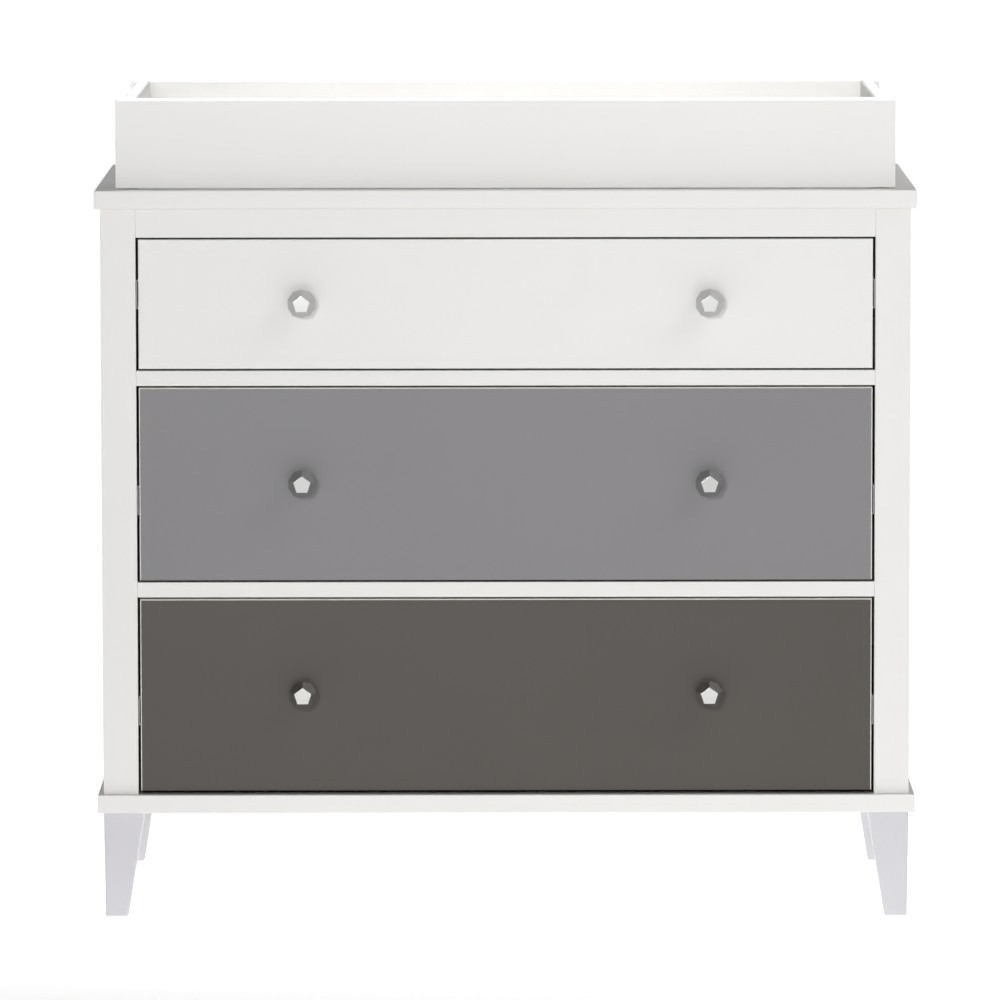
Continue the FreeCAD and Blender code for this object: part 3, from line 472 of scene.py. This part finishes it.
def add_mesh(target: bmesh.types.BMesh, part: bmesh.types.BMesh, placing: Matrix) -> None:
    """Adds a copy of one mesh to another.

    Args:
        target: the mesh that grows.
        part: the mesh to copy, left as it is.
        placing: where the copy goes.
    """
    carrier = bpy.data.meshes.new("carrier")
    part.to_mesh(carrier)
    carrier.transform(placing)
    target.from_mesh(carrier)
    bpy.data.meshes.remove(carrier)


@dataclass
class Piece:
    """One finished piece of the visual model, on its way to its body."""

    name: str
    mesh: bmesh.types.BMesh
    finishes: tuple[Finish, ...]
    body: Body
    slot: Slot
    stands_for: tuple[str, ...] = ()

    def deliver(self) -> None:
        """Turns the mesh into an object, dresses it, and puts it on its body."""
        for edge in self.mesh.edges:
            edge.smooth = edge.calc_face_angle(math.pi) < SHARP_ANGLE
        for face in self.mesh.faces:
            face.smooth = True
        data = bpy.data.meshes.new(self.name)
        self.mesh.to_mesh(data)
        self.mesh.free()
        for finish in self.finishes:
            data.materials.append(surface(finish))
        piece = bpy.data.objects.new(self.name, data)
        bpy.context.scene.collection.objects.link(piece)
        even = piece.modifiers.new("even_shading", "WEIGHTED_NORMAL")
        even.keep_sharp = True
        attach(piece, self.body.value)
        if self.stands_for:
            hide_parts(*self.stands_for)
        LOG.info("%s: %d faces on %s", self.name, len(data.polygons), self.body.value)


def dress(node: str, finish: Finish) -> None:
    """Gives a CAD node that stays in view its finish."""
    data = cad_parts[node].data
    data.materials.clear()
    data.materials.append(surface(finish))
    LOG.info("%s: dressed in %s", node, finish.name)


# ---------------------------------------------------------------- case
@dataclass
class Case:
    """Boards, sides, face frame, back and feet."""

    board_round: float = 1.2 * MM
    frame_round: float = 0.6 * MM
    panel_round: float = 0.4 * MM
    foot_round: float = 2.0 * MM
    foot_top: float = 49.0 * MM
    foot_bottom: float = 27.0 * MM
    foot_draw_in: float = 1.6 * MM

    def build(self) -> None:
        """Builds and dresses the whole case."""
        for node in ("top_panel", "bottom_panel"):
            self.board(node, self.board_round, lambda edge: True)
        for node in ("side_panel_left", "side_panel_right"):
            self.board(node, self.panel_round, lambda edge: runs_along(edge, Z))
        for node in ("stile_left", "stile_right", "top_rail", "rail_upper", "rail_lower"):
            self.frame_piece(node)
        for node, side, end in (
                ("foot_front_left", Side.LEFT, -1), ("foot_front_right", Side.RIGHT, -1),
                ("foot_back_left", Side.LEFT, 1), ("foot_back_right", Side.RIGHT, 1)):
            self.foot(node, side, end)
        dress("back_panel", WHITE_HARDBOARD)
        dress("back_rail", PARTICLE_BOARD)
        dress("slide_cleats", PARTICLE_BOARD)

    def board(self, node: str, radius: float, wanted: EdgeTest) -> None:
        """A painted board in the place of a CAD node.

        Args:
            node: the CAD node.
            radius: how far its edges are rounded.
            wanted: which edges.
        """
        mesh = block(Extent.of(node))
        ease(mesh, radius, wanted)
        Piece(f"{node}_painted", mesh, (WHITE_LACQUER,), Body.CASE, Slot.WHITE, (node,)).deliver()

    def frame_piece(self, node: str) -> None:
        """A stile or rail, its front edges eased so that each joint shows as a fine line."""
        front = Extent.of(node).low.y

        def in_front(edge: bmesh.types.BMEdge) -> bool:
            """Whether an edge lies in the front face."""
            return all(abs(vert.co.y - front) < self.frame_round / 2.0 for vert in edge.verts)
        self.board(node, self.frame_round, in_front)

    def foot(self, node: str, side: Side, end: int) -> None:
        """A square foot, straight on its two outer faces and tapered on the two inner ones.

        Args:
            node: the CAD node.
            side: left or right.
            end: -1 at the front, 1 at the back.
        """
        extent = Extent.of(node)
        mesh = block(extent)
        outer = Vector((side.value, end, 0.0))
        corner = Vector((
            extent.low.x if side is Side.LEFT else extent.high.x,
            extent.low.y if end < 0 else extent.high.y, extent.low.z))
        lower = [vert for vert in mesh.verts if vert.co.z < extent.centre.z]
        share = self.foot_bottom / self.foot_top
        bmesh.ops.scale(mesh, vec=Vector((share, share, 1.0)), space=Matrix.Translation(-corner), verts=lower)
        bmesh.ops.translate(mesh, vec=-outer * self.foot_draw_in, verts=lower)
        seat = extent.high.z - self.foot_round
        ease(mesh, self.foot_round, lambda edge: min(vert.co.z for vert in edge.verts) < seat)
        Piece(f"{node}_painted", mesh, (FOOT_LACQUER,), Body.CASE, Slot.FOOT, (node,)).deliver()


# ---------------------------------------------------------------- topper
@dataclass
class Topper:
    """The tray frame: four boards with rounded tops, its brackets and its bumpers."""

    top_round: float = 4.2 * MM
    end_round: float = 1.0 * MM

    def build(self) -> None:
        """Builds and dresses the topper."""
        for node in ("topper_front", "topper_back"):
            self.board(node, X)
        for node in ("topper_side_left", "topper_side_right"):
            self.board(node, Y)
        dress("topper_brackets", ZINC_PLATE)
        dress("topper_pads", CLEAR_VINYL)

    def board(self, node: str, length: Vector) -> None:
        """One board of the tray.

        Args:
            node: the CAD node.
            length: the axis that it runs along.
        """
        extent = Extent.of(node)
        mesh = block(extent)
        top = extent.high.z - self.end_round

        def upper_arris(edge: bmesh.types.BMEdge) -> bool:
            """Whether an edge runs along the board's top."""
            return runs_along(edge, length) and all(vert.co.z > top for vert in edge.verts)
        ease(mesh, self.top_round, upper_arris, segments=8)
        if length == X:
            ease(mesh, self.end_round, lambda edge: runs_along(edge, Z), segments=3)
        Piece(f"{node}_painted", mesh, (WHITE_LACQUER,), Body.CASE, Slot.WHITE, (node,)).deliver()


# ---------------------------------------------------------------- screws
def push(mesh: bmesh.types.BMesh, face: bmesh.types.BMFace, rise: float, share: float) -> bmesh.types.BMFace:
    """Extrudes a face along Z and makes it larger or smaller.

    Args:
        mesh: the mesh that it belongs to.
        face: the face.
        rise: how far it is moved.
        share: its new size against the old one.

    Returns:
        The face at the new end.
    """
    end = bmesh.ops.extrude_discrete_faces(mesh, faces=[face])["faces"][0]
    middle = Matrix.Translation(-end.calc_center_median())
    bmesh.ops.scale(mesh, vec=Vector((share, share, 1.0)), space=middle, verts=end.verts[:])
    bmesh.ops.translate(mesh, vec=Z * rise, verts=end.verts[:])
    return end


@dataclass(frozen=True)
class CrossRecess:
    """A cross recess for a screwdriver: how far its arms reach, how narrow its waist and its floor are."""

    reach: float
    waist: float
    taper: float

    def cut(self, mesh: bmesh.types.BMesh, face: bmesh.types.BMFace, turns: int, depth: float) -> None:
        """Sinks the recess in a round face.

        Args:
            mesh: the mesh.
            face: the face, which looks towards +Z.
            turns: how many corners the face has.
            depth: how deep the recess is.
        """
        mouth = push(mesh, face, 0.0, self.reach)
        quarter = turns // 4
        between = [
            vert for index, vert in enumerate(mouth.verts) if index % quarter not in (0, 1, quarter - 1)]
        middle = Matrix.Translation(-mouth.calc_center_median())
        bmesh.ops.scale(mesh, vec=Vector((self.waist, self.waist, 1.0)), space=middle, verts=between)
        push(mesh, mouth, -depth, self.taper)
        bmesh.ops.recalc_face_normals(mesh, faces=mesh.faces[:])


@dataclass(frozen=True)
class CrossScrew:
    """A plated screw with a low domed head and a cross recess, the underside of its head at the origin.

    Each ring of the dome has its height as a share of the head's height, and its width as a share of the ring
    below.
    """

    head_radius: float
    head_height: float
    shank_radius: float
    length: float
    turns: int = 24
    dome: tuple[tuple[float, float], ...] = ((0.45, 1.0), (0.35, 0.86), (0.2, 0.74))
    recess: CrossRecess = CrossRecess(reach=0.92, waist=0.34, taper=0.55)
    recess_depth: float = 0.75

    def mesh(self) -> bmesh.types.BMesh:
        """Builds the screw, its head towards +Z."""
        screw = bmesh.new()
        bmesh.ops.create_circle(screw, cap_ends=True, segments=self.turns, radius=self.shank_radius,
                                matrix=Matrix.Translation(-Z * self.length))
        tip = push(screw, screw.faces[:][0], self.length, 1.0)
        tip = push(screw, tip, 0.0, self.head_radius / self.shank_radius)
        for rise, share in self.dome:
            tip = push(screw, tip, self.head_height * rise, share)
        self.recess.cut(screw, tip, self.turns, self.head_height * self.recess_depth)
        return screw


# ---------------------------------------------------------------- drawers
@dataclass
class Knob:
    """A twelve-sided knob on a round neck, one pentagon facing the user with a corner up."""

    neck_radius: float = 8.0 * MM
    arris: float = 0.35 * MM
    neck_turns: int = 48

    def mesh(self, extent: Extent) -> bmesh.types.BMesh:
        """Builds the knob in the box of its CAD node.

        Args:
            extent: the node's box.

        Returns:
            The knob.
        """
        ball = bmesh.new()
        bmesh.ops.create_icosphere(ball, subdivisions=1, radius=1.0)
        knob = bmesh.new()
        for face in ball.faces:
            knob.verts.new(face.calc_center_median())
        ball.free()
        bmesh.ops.convex_hull(knob, input=knob.verts[:])
        bmesh.ops.dissolve_limit(knob, angle_limit=FLAT_ANGLE, verts=knob.verts[:], edges=knob.edges[:])
        bmesh.ops.rotate(knob, matrix=Matrix.Rotation(math.pi / 2.0, 3, "X"), verts=knob.verts[:])
        front = min(knob.faces, key=lambda face: face.calc_center_median().y)
        corner = front.verts[0].co
        turn = math.atan2(corner.x, corner.z)
        bmesh.ops.rotate(knob, matrix=Matrix.Rotation(-turn, 3, "Y"), verts=knob.verts[:])
        size = extent.size.z / 2.0 / max(vert.co.z for vert in knob.verts)
        bmesh.ops.scale(knob, vec=Vector((size, size, size)), verts=knob.verts[:])
        nearest = min(vert.co.y for vert in knob.verts)
        middle = Vector((extent.centre.x, extent.low.y - nearest, extent.centre.z))
        bmesh.ops.translate(knob, vec=middle, verts=knob.verts[:])
        ease(knob, self.arris, lambda edge: True, segments=2)
        neck_length = extent.high.y - middle.y
        place = Vector((middle.x, middle.y + neck_length / 2.0, middle.z))
        turned = Matrix.Translation(place) @ Matrix.Rotation(math.pi / 2.0, 4, "X")
        bmesh.ops.create_cone(
            knob, cap_ends=True, segments=self.neck_turns, radius1=self.neck_radius,
            radius2=self.neck_radius, depth=neck_length, matrix=turned)
        return knob


@dataclass
class Drawer:
    """One drawer: front, box, knobs, screws and slides."""

    body: Body
    paint: Lacquer
    slot: Slot
    edge_paint: Lacquer = PALE_EDGE_LACQUER
    front_round: float = 1.2 * MM
    box_round: float = 1.5 * MM
    turned_under: float = -0.1
    knob: Knob = field(default_factory=Knob)
    knob_screw: CrossScrew = CrossScrew(4.25 * MM, 2.4 * MM, 2.0 * MM, 28.0 * MM)

    def node(self, part: str) -> str:
        """The CAD node of one of the drawer's parts."""
        return f"{self.body.value}_{part}"

    def build(self) -> None:
        """Builds and dresses the drawer."""
        self.front()
        for part, length in (("side_left", Y), ("side_right", Y), ("back", X)):
            self.box_board(part, length)
        dress(self.node("bottom"), WHITE_HARDBOARD)
        for side in ("left", "right"):
            node = self.node(f"knob_{side}")
            mesh = self.knob.mesh(Extent.of(node))
            Piece(f"{node}_metal", mesh, (SATIN_NICKEL,), self.body, Slot.KNOB, (node,)).deliver()
        self.knob_screws()
        dress(self.node("slide_members"), ZINC_PLATE)
        dress(self.node("ball_cages"), ZINC_PLATE)

    def front(self) -> None:
        """The painted front.

        Its upper and side edges keep the pale undercoat, which shows as a fine line.
        """
        node = self.node("front")
        extent = Extent.of(node)
        mesh = block(extent)
        ease(mesh, self.front_round,
             lambda edge: all(abs(vert.co.y - extent.low.y) < TOUCH for vert in edge.verts), segments=3)
        for face in mesh.faces:
            painted = face.normal.y < -PARALLEL or face.normal.z < self.turned_under
            face.material_index = 0 if painted else 1
        Piece(f"{node}_painted", mesh, (self.paint, self.edge_paint), self.body, self.slot, (node,)).deliver()

    def box_board(self, part: str, length: Vector) -> None:
        """A side or the back of the drawer's box, its upper edges wrapped round.

        Args:
            part: the part's name.
            length: the axis that it runs along.
        """
        node = self.node(part)
        extent = Extent.of(node)
        mesh = block(extent)
        ease(mesh, self.box_round,
             lambda edge: runs_along(edge, length) and edge.verts[0].co.z > extent.centre.z)
        Piece(f"{node}_foiled", mesh, (WHITE_FOIL,), self.body, Slot.DRAWER_BOARD, (node,)).deliver()

    def knob_screws(self) -> None:
        """The two machine screws from inside the box."""
        node = self.node("knob_screws")
        screw = self.knob_screw.mesh()
        pair = bmesh.new()
        seat = Extent.of(node).high.y - self.knob_screw.head_height
        for side in ("left", "right"):
            knob = Extent.of(self.node(f"knob_{side}")).centre
            place = Matrix.Translation(Vector((knob.x, seat, knob.z)))
            add_mesh(pair, screw, place @ Matrix.Rotation(-math.pi / 2.0, 4, "X"))
        screw.free()
        Piece(f"{node}_plated", pair, (ZINC_PLATE,), self.body, Slot.STEEL, (node,)).deliver()


# ---------------------------------------------------------------- hardware
def islands(node: str) -> list[list[Vector]]:
    """Finds the separate solids of a CAD node.

    Args:
        node: the CAD node.

    Returns:
        The places of each solid's vertices, in metres.
    """
    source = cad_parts[node]
    mesh = bmesh.new()
    mesh.from_mesh(source.data)
    mesh.transform(source.matrix_world)
    bmesh.ops.remove_doubles(mesh, verts=mesh.verts[:], dist=TOUCH / 10.0)
    reached, solids = set(), []
    for start in mesh.verts:
        if start in reached:
            continue
        reached.add(start)
        solid, front = [], [start]
        while front:
            vert = front.pop()
            solid.append(vert.co.copy())
            for edge in vert.link_edges:
                other = edge.other_vert(vert)
                if other not in reached:
                    reached.add(other)
                    front.append(other)
        solids.append(solid)
    mesh.free()
    return solids


@dataclass(frozen=True)
class Fitting:
    """Where a round fitting sits: the middle of its thin end, the way its head faces, and its length."""

    tip: Vector
    facing: Vector
    length: float

    @classmethod
    def read(cls, solid: list[Vector], axis: Vector) -> "Fitting":
        """Reads a fitting from its solid.

        Args:
            solid: the places of its vertices.
            axis: the way that it lies.

        Returns:
            The fitting, its head at the end where the solid is widest.
        """
        low = min(place.dot(axis) for place in solid)
        high = max(place.dot(axis) for place in solid)
        centre = sum(solid, Vector()) / len(solid)
        line = centre - axis * centre.dot(axis)

        def width(level: float) -> float:
            """The solid's reach from its axis at one level."""
            near = [place for place in solid if abs(place.dot(axis) - level) < TOUCH]
            return max((place - axis * level - line).length for place in near)
        if width(high) > width(low):
            return cls(line + axis * low, axis, high - low)
        return cls(line + axis * high, -axis, high - low)

    def placing(self, rise: float) -> Matrix:
        """The matrix that puts a fitting built towards +Z here, its origin this far above the thin end."""
        turn = Z.rotation_difference(self.facing).to_matrix().to_4x4()
        return Matrix.Translation(self.tip + self.facing * rise) @ turn


def longest_axis(solid: list[Vector]) -> Vector:
    """The axis along which a solid is longest."""
    return max((X, Y, Z), key=lambda axis: max(p.dot(axis) for p in solid) - min(p.dot(axis) for p in solid))


@dataclass(frozen=True)
class CamDisc:
    """A die-cast cam: a short drum with a chamfered rim and a cross recess for the screwdriver."""

    radius: float = 7.5 * MM
    length: float = 12.5 * MM
    chamfer: float = 0.5 * MM
    rim_share: float = 0.92
    turns: int = 32
    recess: CrossRecess = CrossRecess(reach=0.6, waist=0.36, taper=0.6)
    recess_depth: float = 3.0 * MM

    def mesh(self) -> bmesh.types.BMesh:
        """Builds the cam, its recess towards +Z and its far end at the origin."""
        drum = bmesh.new()
        bmesh.ops.create_circle(drum, cap_ends=True, segments=self.turns, radius=self.radius)
        tip = push(drum, drum.faces[:][0], self.length - self.chamfer, 1.0)
        tip = push(drum, tip, self.chamfer, self.rim_share)
        self.recess.cut(drum, tip, self.turns, self.recess_depth)
        return drum


@dataclass
class Hardware:
    """The case's fittings."""

    wood_screw: CrossScrew = CrossScrew(4.0 * MM, 1.2 * MM, 2.0 * MM, 13.0 * MM)
    cam: CamDisc = CamDisc()

    def build(self) -> None:
        """Builds and dresses the fittings."""
        for node in ("slide_cabinet_members", "cam_bolts", "strap_plate", "foot_bolts"):
            dress(node, ZINC_PLATE)
        dress("dowels", BEECH)
        self.screws()
        self.cams()

    def screws(self) -> None:
        """All the wood screws, each where its CAD solid is."""
        node, screw = "wood_screws", self.wood_screw.mesh()
        together = bmesh.new()
        for solid in islands(node):
            place = Fitting.read(solid, longest_axis(solid))
            add_mesh(together, screw, place.placing(self.wood_screw.length))
        screw.free()
        Piece(f"{node}_plated", together, (ZINC_PLATE,), Body.CASE, Slot.STEEL, (node,)).deliver()

    def cams(self) -> None:
        """The eight cams, in the inner faces of the sides."""
        node, cam = "cam_discs", self.cam.mesh()
        together = bmesh.new()
        for solid in islands(node):
            centre = sum(solid, Vector()) / len(solid)
            inwards = X if centre.x < 0.0 else -X
            far = min(place.dot(inwards) for place in solid)
            tip = centre + inwards * (far - centre.dot(inwards))
            add_mesh(together, cam, Fitting(tip, inwards, self.cam.length).placing(0.0))
        cam.free()
        Piece(f"{node}_cast", together, (CAST_ZINC,), Body.CASE, Slot.CAST, (node,)).deliver()


# ---------------------------------------------------------------- studio
@dataclass(frozen=True)
class StudioPaper(Finish):
    """Seamless white studio paper: dead matt, with the faint fibre cloud of uncoated paper.

    The paper itself glows as painted light: faintly in front, and more strongly under and behind the dresser,
    where the glow paints out the dresser's shadow and keeps the ground white.
    """

    fibre_mm: float = 9.0
    fibre_height_mm: float = 0.05
    # Painted light: glow is what the paper emits everywhere, the stronger glow hides the dresser's shadow
    # under and behind it, and the edge is the Y range over which one rises to the other.
    glow: float = 0.41
    shadow_fill_glow: float = 0.76
    shadow_fill_edge: tuple[float, float] = (-0.82, -0.40)
    cloud_fibres: float = 60.0
    sheen: float = 0.1

    def material(self) -> bpy.types.Material:
        """Builds the paper."""
        material, place = self.blank()
        cloud = add_node(material, "ShaderNodeTexNoise", {
            "Vector": place, "Scale": per_metre(self.fibre_mm * self.cloud_fibres), "Detail": 3.0})
        fibres = add_node(material, "ShaderNodeTexNoise", {
            "Vector": place, "Scale": per_metre(self.fibre_mm), "Detail": 4.0})
        relief = add_node(material, "ShaderNodeBump", {
            "Height": fibres.outputs["Fac"], "Strength": 1.0, "Distance": self.fibre_height_mm * MM})
        axes = add_node(material, "ShaderNodeSeparateXYZ", {"Vector": place})
        # Painted light: the paper's emission rises towards the back, painting out the shadow under and behind
        # the dresser.
        painted_glow = add_node(material, "ShaderNodeMapRange", {
            "Value": axes.outputs["Y"], "From Min": self.shadow_fill_edge[0], "From Max": self.shadow_fill_edge[1],
            "To Min": self.glow, "To Max": self.shadow_fill_glow}, interpolation_type="SMOOTHSTEP")
        shader = add_node(material, "ShaderNodeBsdfPrincipled", {
            "Base Color": self.tinted(material, cloud.outputs["Fac"]),
            "Roughness": self.gloss(material, fibres.outputs["Fac"]),
            "Specular IOR Level": self.sheen,
            "Emission Color": linear("#FFFFFF"),
            "Emission Strength": painted_glow.outputs["Result"],
            "Normal": relief.outputs["Normal"]})
        return self.finish_off(material, shader)


@dataclass(frozen=True)
class Softbox:
    """A rectangle of soft light on a stand, with a grid that narrows its beam."""

    name: str
    place: Vector
    aim: Vector
    width: float
    height: float
    power: float
    beam: float = math.radians(180.0)

    def build(self) -> None:
        """Puts the light in the scene, aimed at its point."""
        light = bpy.data.lights.new(self.name, "AREA")
        light.shape = "RECTANGLE"
        light.size, light.size_y = self.width, self.height
        light.energy = self.power
        light.spread = self.beam
        place_light(light, self.place, self.aim)


@dataclass(frozen=True)
class Canopy:
    """Wide even light from overhead, as from a ceiling of diffusers."""

    name: str
    origin: Vector
    strength: float
    spread: float

    def build(self) -> None:
        """Puts the light in the scene."""
        light = bpy.data.lights.new(self.name, "SUN")
        light.energy = self.strength
        light.angle = self.spread
        place_light(light, self.origin, Vector())


def place_light(light: bpy.types.Light, place: Vector, aim: Vector) -> None:
    """Puts a light in the scene, out of the camera's sight.

    Args:
        light: the light.
        place: where it stands.
        aim: the point that it faces.
    """
    lamp = bpy.data.objects.new(light.name, light)
    lamp.location = place
    lamp.rotation_euler = (aim - place).to_track_quat("-Z", "Y").to_euler()
    lamp.visible_camera = False
    bpy.context.scene.collection.objects.link(lamp)


@dataclass
class Studio:
    """Floor, light and camera."""

    frame_pixels: float = 1000.0
    focal_pixels: float = 8210.0
    sensor_mm: float = 36.0
    pitch: float = math.radians(6.1155)
    distance: float = 9800.0 * MM
    camera_height: float = 1555.4 * MM
    camera_side: float = -5.5 * MM
    roll: float = math.radians(0.08)
    near: float = 0.1
    far: float = 500.0
    floor_half: float = 60.0
    sky_front: float = 0.3
    sky_back: float = 0.20
    front_edge: float = -0.75
    key: Softbox = Softbox(
        "key_softbox", place=Vector((-1.2, -6.2, 2.0)), aim=Vector((0.8, -0.2, 0.7)),
        width=1.1, height=1.1, power=19.4, beam=math.radians(70.0))
    fill: Softbox = Softbox(
        "fill_softbox", place=Vector((3.4, -2.0, 3.8)), aim=Vector((0.0, -0.2, 0.6)),
        width=3.0, height=3.0, power=76.0)
    tray: Softbox = Softbox(
        "tray_softbox", place=Vector((0.0, -0.35, 1.45)), aim=Vector((0.0, 0.24, 0.95)),
        width=1.1, height=0.1, power=1.4, beam=math.radians(80.0))
    strip_power: float = 4.2
    strip_height: float = 0.1
    strip_beam: float = math.radians(8.0)
    upper_card: Softbox = Softbox(
        "upper_card", place=Vector((0.0, -2.2, 0.67)), aim=Vector((0.0, 0.0, 0.67)),
        width=2.0, height=0.30, power=2.4)
    lower_card: Softbox = Softbox(
        "lower_card", place=Vector((0.0, -2.2, 0.09)), aim=Vector((0.0, 0.0, 0.09)),
        width=2.0, height=0.16, power=1.2)
    canopy: Canopy = Canopy(
        "canopy", origin=Vector((-0.05, 0.25, 1.0)), strength=0.42, spread=math.radians(60.0))

    def build(self) -> None:
        """Sets up the studio."""
        self.floor()
        self.sky()
        for light in (self.key, self.fill, self.tray):
            light.build()
        for node in ("topper_front", "topper_back", "topper_side_left", "topper_side_right"):
            self.strip(node)
        for light in (self.upper_card, self.lower_card, self.canopy):
            light.build()
        self.camera()
        bpy.context.scene.view_settings.view_transform = "Standard"

    def strip(self, node: str) -> None:
        """A strip of light close above one board of the tray, as wide as its top."""
        rim = Extent.of(node)
        above = Vector((rim.centre.x, rim.centre.y, rim.high.z + self.strip_height))
        power = self.strip_power * rim.size.x * rim.size.y
        Softbox(f"{node}_strip", above, rim.centre, rim.size.x, rim.size.y, power, self.strip_beam).build()

    def floor(self) -> None:
        """The plain pale floor."""
        mesh = bmesh.new()
        bmesh.ops.create_grid(mesh, x_segments=4, y_segments=4, size=self.floor_half)
        data = bpy.data.meshes.new("studio_floor")
        mesh.to_mesh(data)
        mesh.free()
        data.materials.append(surface(STUDIO_PAPER))
        floor = bpy.data.objects.new("studio_floor", data)
        bpy.context.scene.collection.objects.link(floor)

    def sky(self) -> None:
        """Faint white light from all round, and a white studio wall in front of the dresser."""
        world = bpy.data.worlds.new("studio_sky")
        world.use_nodes = True
        world.node_tree.nodes.clear()
        direction = add_node(world, "ShaderNodeTexCoord")
        axes = add_node(world, "ShaderNodeSeparateXYZ", {"Vector": direction.outputs["Generated"]})
        strength = add_node(world, "ShaderNodeMapRange", {
            "Value": axes.outputs["Y"], "From Min": -1.0, "From Max": self.front_edge,
            "To Min": self.sky_front, "To Max": self.sky_back})
        background = add_node(world, "ShaderNodeBackground", {"Strength": strength.outputs["Result"]})
        add_node(world, "ShaderNodeOutputWorld", {"Surface": background.outputs["Background"]})
        bpy.context.scene.world = world

    def camera(self) -> None:
        """The camera at the photograph's place, angle and field."""
        lens = bpy.data.cameras.new("camera")
        lens.sensor_width = self.sensor_mm
        lens.lens = self.focal_pixels / self.frame_pixels * self.sensor_mm
        lens.clip_start, lens.clip_end = self.near, self.far
        camera = bpy.data.objects.new("camera", lens)
        front = Extent.of("stile_left").low.y
        camera.location = (self.camera_side, front - self.distance, self.camera_height)
        camera.rotation_euler = (math.pi / 2.0 - self.pitch, self.roll, 0.0)
        bpy.context.scene.collection.objects.link(camera)
        bpy.context.scene.camera = camera


STUDIO_PAPER = StudioPaper("studio_paper", "#F7F7F7", "#F9F9F9", 0.9)


def main() -> None:
    """Builds the dresser and the studio, in order."""
    logging.basicConfig(level=logging.INFO, format="%(message)s")
    Case().build()
    Topper().build()
    Drawer(Body.DRAWER_1, DRAWER_WHITE_LACQUER, Slot.DRAWER_WHITE, DRAWER_WHITE_LACQUER).build()
    Drawer(Body.DRAWER_2, MID_GREY_LACQUER, Slot.MID_GREY).build()
    Drawer(Body.DRAWER_3, DARK_GREY_LACQUER, Slot.DARK_GREY).build()
    Hardware().build()
    Studio().build()


if __name__ == "__main__":
    main()
